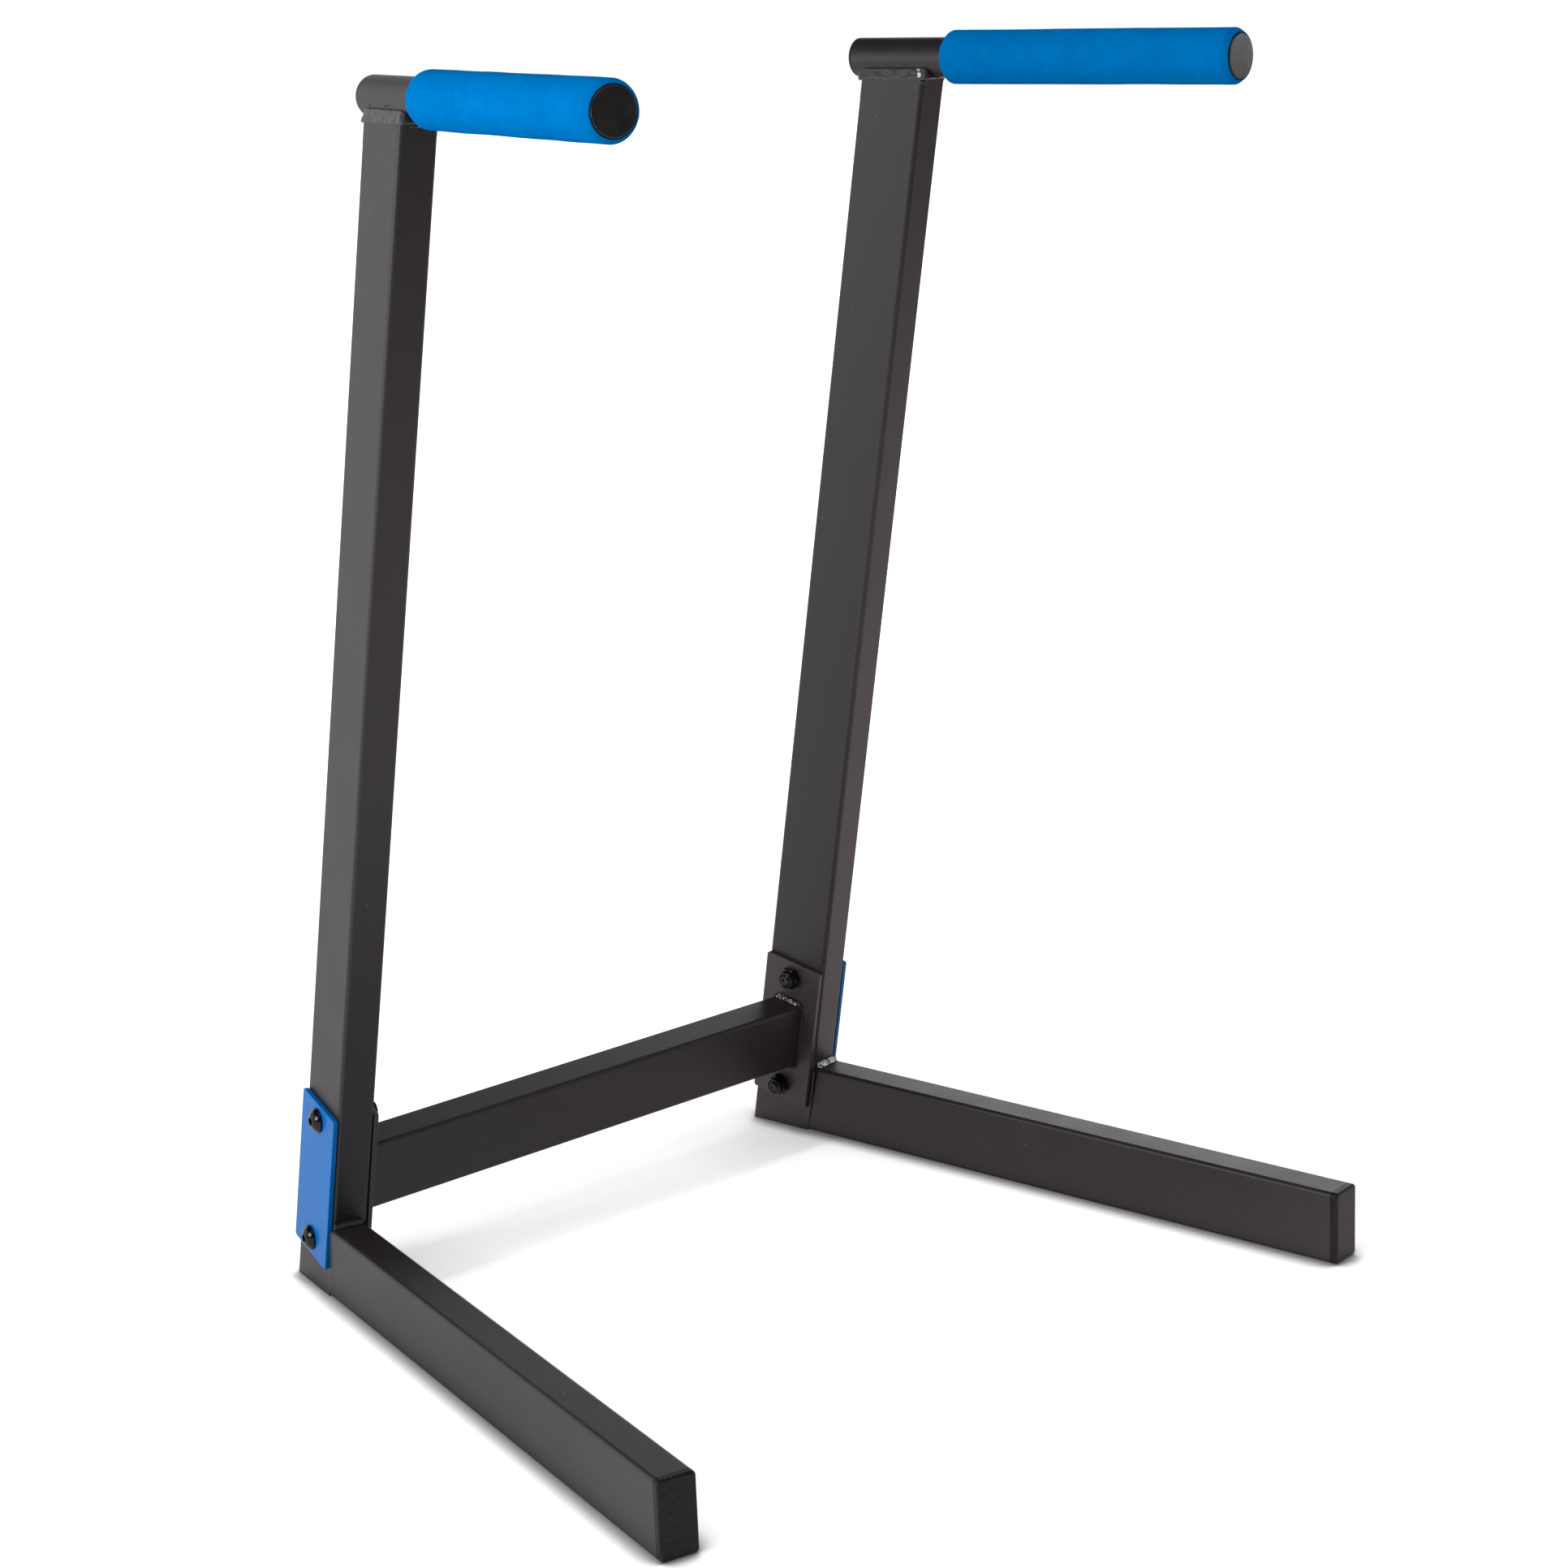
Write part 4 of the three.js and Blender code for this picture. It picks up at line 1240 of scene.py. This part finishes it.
def ripple(travel, across, pitch):
    """Height of stacked weld crescents: a sharp front and a long back."""
    phase = (travel + across * across * RIPPLE_BEND) / pitch
    share = phase - math.floor(phase)
    return (1 - share) ** 0.7 - 0.5


def roughen(bead, home, height, seed, paths=None, pitch=1.0):
    """Raises the bead's skin unevenly, and in crescents where it is given paths.

    They tell how far along the weld a point is, and how far off the bead's middle.
    """
    to_local = home.inverted()
    shift = Vector((seed, seed * 1.7, 3))
    sway_wave, sway = RIPPLE_SWAY
    mesh = bead.data
    normals = [vertex.normal.copy() for vertex in mesh.vertices]
    for vertex, normal in zip(mesh.vertices, normals):
        lift = 0.0
        if paths:
            travel, across = paths(to_local @ vertex.co)
            travel += noise.noise(vertex.co / sway_wave + shift) * sway
            lift = ripple(travel, across, pitch) * height * 0.5
        for wave, share in BEAD_WAVES:
            lift += noise.noise(vertex.co / wave + shift) * height * share
        vertex.co += normal * lift


def mark_bare_and_glints(bead, matrix, spots):
    """Marks where the coat missed the bead and glints are painted: spots of (centre, reach, most)
    in the given frame.
    """
    mesh = bead.data
    bare_and_glint = mesh.attributes.new("bare_and_glint", "FLOAT", "POINT")
    for centre, reach, most in spots:
        middle = matrix @ Vector(centre)
        for index, vertex in enumerate(mesh.vertices):
            share = 2 - 2 * (vertex.co - middle).length / reach
            bare_and_glint.data[index].value = max(bare_and_glint.data[index].value, min(most, share))


def spatter(bead, spots):
    """Joins small frozen drops to the bead, at (centre, radius)."""
    drops = []
    for centre, radius in spots:
        bpy.ops.mesh.primitive_ico_sphere_add(
            subdivisions=2, radius=radius, location=centre
        )
        drop = bpy.context.object
        drop.scale = (1, 1, dice.uniform(0.7, 1))
        drops.append(settle(drop))
    return join(bead, drops)


def handle_drops(home):
    """Drops on the handle's underside, ahead of its bead and beside it."""
    spots = []
    for _ in range(DROP_COUNT):
        angle = math.radians(dice.uniform(-DROP_SPREAD, DROP_SPREAD))
        station = dice.choice((dice.uniform(*DROPS_AHEAD), dice.uniform(*DROPS_BESIDE)))
        if station > HANDLE_BEAD_FRONT:
            angle = math.radians(dice.choice((-1, 1)) * dice.uniform(*DROP_FLANKS))
        x, z = HANDLE_RADIUS * math.sin(angle), -HANDLE_RADIUS * math.cos(angle)
        spots.append((home @ Vector((x, station, z)), dice.uniform(*DROP_RADII)))
    return spots


def handle_lumps(home):
    """Lumps side by side along the bead's front edge."""
    height = -(HANDLE_RADIUS + GAP) - LUMP_BELOW
    spots = []
    for x in LUMP_PLACES:
        lump = Vector((x, HANDLE_BEAD_FRONT - LUMP_AHEAD, height))
        lump += Vector([dice.uniform(-LUMP_SCATTER, LUMP_SCATTER) for _ in range(3)])
        spots.append((home @ lump, dice.uniform(*LUMP_RADII)))
    return spots


def make_handle_weld(side, label):
    """The lumpy bead between the upright's top and the handle tube."""
    home = handle_frame(side)
    bead = bead_from(label, "handle", 0.5, passes=12, lowest=HANDLE_BEAD_LOWEST)
    roughen(bead, home, 0.16, 3 + side)
    spatter(bead, handle_drops(home) + handle_lumps(home))
    # Bright flecks along the bead's front: painted glints and bare steel
    mark_bare_and_glints(bead, home, HANDLE_BARE_AND_GLINTS[label])
    return finish_bead(bead, handle_weld_coat_painted_lighter, f"{label}_handle_weld")


def make_bar_weld(side, label):
    """The bead all round the crossbar's end."""
    home = bar_frame()
    half_depth, half_height = TUBE_WIDTH / 2, TUBE_DEPTH / 2

    def paths(spot):
        if abs(spot.z) > half_height - 1:
            return spot.y, abs(spot.z) - half_height
        return spot.z, abs(spot.y) - half_depth

    bead = bead_from(label, "crossbar", 0.5)
    roughen(bead, home, 0.13, 9 + side, paths, 3.4)
    # The bright spot at the front end and the flecks on top: painted glints and bare steel
    end = side * (HALF_SPACING - BAR_BARE_AND_GLINT_INSET)
    bare_and_glint = [((end, -half_depth - 2, half_height + 2), 7, 1.2)]
    if side > 0:
        bare_and_glint += [((end, y, half_height + 1), 6, 0.72) for y in BAR_BARE_AND_GLINT_TOP]
    mark_bare_and_glints(bead, home, bare_and_glint)
    return finish_bead(bead, weld_coat, f"{label}_crossbar_weld")


def make_seam(side, face, top):
    """A dressed seam on one face of the leg, up the upright's front edge to its top."""
    seam = block("seam", (-SEAM_DEPTH, SEAM_FRONT, 0), (SEAM_RISE, SEAM_REAR, top))
    pick(seam, "EDGE", along(2))
    bpy.ops.mesh.subdivide(number_cuts=SEAM_CUTS)
    close(seam)
    round_edges(seam, SEAM_EDGE, 3, along(2))
    sway_wave, sway = SEAM_SWAY
    wave, rise = SEAM_WAVES
    for vertex in seam.data.vertices:
        spot = vertex.co
        spot.y += noise.noise(Vector((0, face * 5, spot.z / sway_wave))) * sway
        spot.x += noise.noise(Vector((spot.y, face * 9, spot.z / wave))) * rise
    if face < 0:
        seam.scale = (-1, 1, 1)
        settle(seam)
        pick(seam, "FACE", every)
        bpy.ops.mesh.normals_make_consistent(inside=False)
        close(seam)
    edge = Matrix.Translation((face * TUBE_WIDTH / 2, -TUBE_DEPTH, 0))
    seam.matrix_world = upright_frame(side) @ edge
    settle(seam)
    return saw(seam, (0, 0, SEAM_LIFT), (0, 0, -1), hollow=False)


def make_leg_weld(side, label):
    """The bead across the leg's top, with the dressed seams down both its flanks."""
    home = side_frame(side)
    bead = bead_from(label, "leg", 0.4, passes=14)
    roughen(bead, home, 0.14, 5 + side, lambda spot: (spot.x, spot.y), 3.2)
    rise = TUBE_DEPTH * (1 + math.sin(TILT)) / math.cos(TILT)
    corner = home.inverted() @ upright_frame(side) @ Vector((0, -TUBE_DEPTH, rise))
    # Bright patches across the bead: painted glints and bare steel
    places = LEG_BARE_AND_GLINTS[label]
    bare_and_glint = [(corner + Vector((x, 0, 0)), reach, LEG_BARE_AND_GLINT_MOST) for x, reach in places]
    mark_bare_and_glints(bead, home, bare_and_glint)
    join(bead, [make_seam(side, face, rise - SEAM_SHORT) for face in (-1, 1)])
    return finish_bead(bead, weld_coat, f"{label}_leg_weld")


# The station

make_crossbar()
for label, side in SIDES.items():
    make_upright(side, label)
    make_leg(side, label)
    make_cap(side, label)
    make_handle_tube(side, label)
    make_front_plug(side, label)
    make_rear_plug(side, label)
    make_grip(side, label)
    make_outer_plate(side, label)
    make_flange(side, label)
    for level in BOLT_OFFSETS:
        make_bolt(side, label, level)
        make_nut(side, label, level)
        make_insert(side, label, level)
    make_handle_weld(side, label)
    make_bar_weld(side, label)
    make_leg_weld(side, label)


# Floor


def only_gloss(tree, path):
    """1 for rays that left a glossy or clear surface, and aren't from the camera."""
    seen = compute(tree, "MAXIMUM", path["Is Glossy Ray"], path["Is Transmission Ray"])
    other = compute(tree, "SUBTRACT", 1.0, path["Is Camera Ray"])
    return multiply(tree, seen, other)


def distance_to(tree, at, centre):
    """Distance from a fixed point."""
    node = put(tree, "ShaderNodeVectorMath", {0: at, 1: centre}, operation="DISTANCE")
    return node.outputs["Value"]


def glow(tree, strength, colour=WHITE):
    """Plain light."""
    inputs = {"Color": colour, "Strength": strength}
    return put(tree, "ShaderNodeEmission", inputs).outputs[0]


def choose(tree, factor, first, second):
    """One shader or the other."""
    inputs = {0: factor, 1: first, 2: second}
    return put(tree, "ShaderNodeMixShader", inputs).outputs[0]


def openness(tree, reach, levels, **inputs):
    """How open the floor is to what stands within reach of it."""
    inputs["Distance"] = reach
    kind = "ShaderNodeAmbientOcclusion"
    node = put(tree, kind, inputs, samples=SHADOW_SAMPLES)
    return fit_range(tree, node.outputs["AO"], *levels)


def crossbar_shade(tree, place_at):
    """How open the floor is towards the crossbar, within the patch behind it."""
    rearwards, upwards = BAR_Y * MM - BAR_SHADE_Y, BAR_Z * MM
    to_bar = put(tree, "ShaderNodeCombineXYZ", {1: rearwards, 2: upwards})
    shade = openness(tree, BAR_SHADE_REACH, BAR_SHADE, Normal=to_bar.outputs[0])
    for axis, middle, edge in (
        ("X", 0.0, BAR_SHADE_WIDTH),
        ("Y", BAR_SHADE_Y, BAR_SHADE_DEPTH),
    ):
        off = compute(tree, "SUBTRACT", place_at[axis], middle)
        outside = fit_range(tree, compute(tree, "ABSOLUTE", off), *edge)
        shade = compute(tree, "MAXIMUM", shade, outside)
    return shade


def floor_for_camera(tree, at, lit):
    """Over-lit white with the painted close shadows, and a glow far off."""
    gain = multiply(tree, lit, FLOOR_GAIN)
    white = put(tree, "ShaderNodeCombineColor", {0: gain, 1: gain, 2: gain}).outputs[0]
    bright = put(tree, "ShaderNodeBsdfDiffuse", {"Color": white}).outputs[0]
    far_glow = fit_range(tree, distance_to(tree, at, (0, 0, 0)), *FAR_GLOW)
    light = glow(tree, multiply(tree, far_glow, lit))
    return put(tree, "ShaderNodeAddShader", {0: bright, 1: light}).outputs[0]


def floor_for_gloss(tree, at, across, contact):
    """The lit pool that the coat reflects, with its dip, its spot, its warm side and the painted
    close shadows.
    """
    pool = fit_range(tree, distance_to(tree, at, POOL_CENTRE), *POOL_EDGE)
    spot = fit_range(tree, distance_to(tree, at, SPOT_CENTRE), *SPOT_EDGE)
    dip = fit_range(tree, distance_to(tree, at, (0, 0, 0)), *POOL_DIP)
    level = compute(tree, "SUBTRACT", compute(tree, "ADD", pool, spot), dip)
    tint = blend_colour(tree, fit_range(tree, across, *WARM_FROM), WHITE, WARM_WHITE)
    return glow(tree, multiply(tree, level, contact), tint)


def make_floor():
    """A wide pale floor, with a surface of its own for the camera and for gloss."""
    bpy.ops.mesh.primitive_plane_add(size=FLOOR_SIZE, location=(0, 0, -FLOOR_DROP))
    floor = settle(bpy.context.object)
    floor.name = "studio_floor"
    material = bpy.data.materials.new("studio_floor")
    material.use_nodes = True
    tree = material.node_tree
    tree.nodes.clear()
    at = put(tree, "ShaderNodeTexCoord").outputs["Object"]
    place_at = put(tree, "ShaderNodeSeparateXYZ", {0: at}).outputs
    path = put(tree, "ShaderNodeLightPath").outputs
    contact = openness(tree, CONTACT_REACH, CONTACT)
    lit = multiply(tree, contact, crossbar_shade(tree, place_at))
    pale = put(tree, "ShaderNodeBsdfDiffuse", {"Color": FLOOR_GREY}).outputs[0]
    shown = floor_for_camera(tree, at, lit)
    direct = choose(tree, path["Is Camera Ray"], pale, shown)
    in_gloss = floor_for_gloss(tree, at, place_at["X"], contact)
    surface = choose(tree, only_gloss(tree, path), direct, in_gloss)
    put(tree, "ShaderNodeOutputMaterial", {"Surface": surface})
    floor.data.materials.append(material)
    return floor


# Light


def heading(azimuth, elevation=0.0):
    """A direction from its angles in degrees, anticlockwise from +X."""
    azimuth, elevation = math.radians(azimuth), math.radians(elevation)
    return (
        math.cos(elevation) * math.cos(azimuth),
        math.cos(elevation) * math.sin(azimuth),
        math.sin(elevation),
    )


def facing(tree, direction, target):
    """How far a direction points towards a fixed one: its cosine."""
    inputs = {0: direction, 1: target}
    node = put(tree, "ShaderNodeVectorMath", inputs, operation="DOT_PRODUCT")
    return node.outputs["Value"]


def room_for_gloss(tree, direction):
    """The low back wall and the panels."""
    height = put(tree, "ShaderNodeSeparateXYZ", {0: direction}).outputs["Z"]
    low_down = fit_range(tree, height, *WALL_TOP, 1.0, 0.0)
    behind = facing(tree, direction, heading(WALL_AZIMUTH))
    behind = fit_range(tree, behind, *WALL_SIDES, 0.0, WALL_LEVEL)
    total = multiply(tree, low_down, behind)
    for azimuth, elevation, reach, level in PANELS:
        edge = math.cos(math.radians(reach))
        full = edge + PANEL_SOFTNESS * (1 - edge)
        near = facing(tree, direction, heading(azimuth, elevation))
        total = compute(tree, "ADD", total, fit_range(tree, near, edge, full, 0.0, level))
    return total


def make_world():
    """White for the camera, an even room for diffuse light, and soft panels for gloss."""
    world = bpy.data.worlds.new("studio")
    bpy.context.scene.world = world
    world.use_nodes = True
    tree = world.node_tree
    tree.nodes.clear()
    direction = put(tree, "ShaderNodeTexCoord").outputs["Generated"]
    path = put(tree, "ShaderNodeLightPath").outputs
    strength = ROOM_LEVEL
    for factor, level in (
        (only_gloss(tree, path), room_for_gloss(tree, direction)),
        (path["Is Camera Ray"], 1.0),
    ):
        inputs = {0: factor, 2: strength, 3: level}
        strength = put(tree, "ShaderNodeMix", inputs, data_type="FLOAT").outputs[0]
    inputs = {"Color": WHITE, "Strength": strength}
    background = put(tree, "ShaderNodeBackground", inputs)
    put(tree, "ShaderNodeOutputWorld", {"Surface": background.outputs[0]})


def make_lamp(name, place_at, aim, size, power):
    """A rectangular soft lamp aimed at a point."""
    data = bpy.data.lights.new(name, "AREA")
    data.shape = "RECTANGLE"
    data.size, data.size_y = size
    data.energy = power
    lamp = bpy.data.objects.new(name, data)
    bpy.context.scene.collection.objects.link(lamp)
    lamp.location = place_at
    beam = Vector(aim) - Vector(place_at)
    lamp.rotation_euler = beam.to_track_quat("-Z", "Y").to_euler()
    lamp.visible_camera = False
    return lamp


# Camera


def make_camera():
    """The photo's camera, rolled a little about its own axis."""
    data = bpy.data.cameras.new("photo_camera")
    data.lens = CAMERA_LENS
    data.sensor_width = CAMERA_SENSOR
    data.clip_end = CAMERA_REACH
    camera = bpy.data.objects.new("photo_camera", data)
    bpy.context.scene.collection.objects.link(camera)
    azimuth, elevation, roll = (math.radians(angle) for angle in CAMERA_ANGLES)
    back = Vector(
        (
            math.sin(azimuth) * math.cos(elevation),
            -math.cos(azimuth) * math.cos(elevation),
            math.sin(elevation),
        )
    )
    right = Vector((math.cos(azimuth), math.sin(azimuth), 0))
    up = back.cross(right)
    rolled_right = right * math.cos(roll) + up * math.sin(roll)
    rolled_up = up * math.cos(roll) - right * math.sin(roll)
    matrix = Matrix((rolled_right, rolled_up, back)).transposed().to_4x4()
    matrix.translation = CAMERA_PLACE
    camera.matrix_world = matrix
    bpy.context.scene.camera = camera


make_floor()
make_world()
for lamp in LAMPS:
    make_lamp(*lamp)
make_camera()
bpy.context.scene.view_settings.view_transform = "Standard"
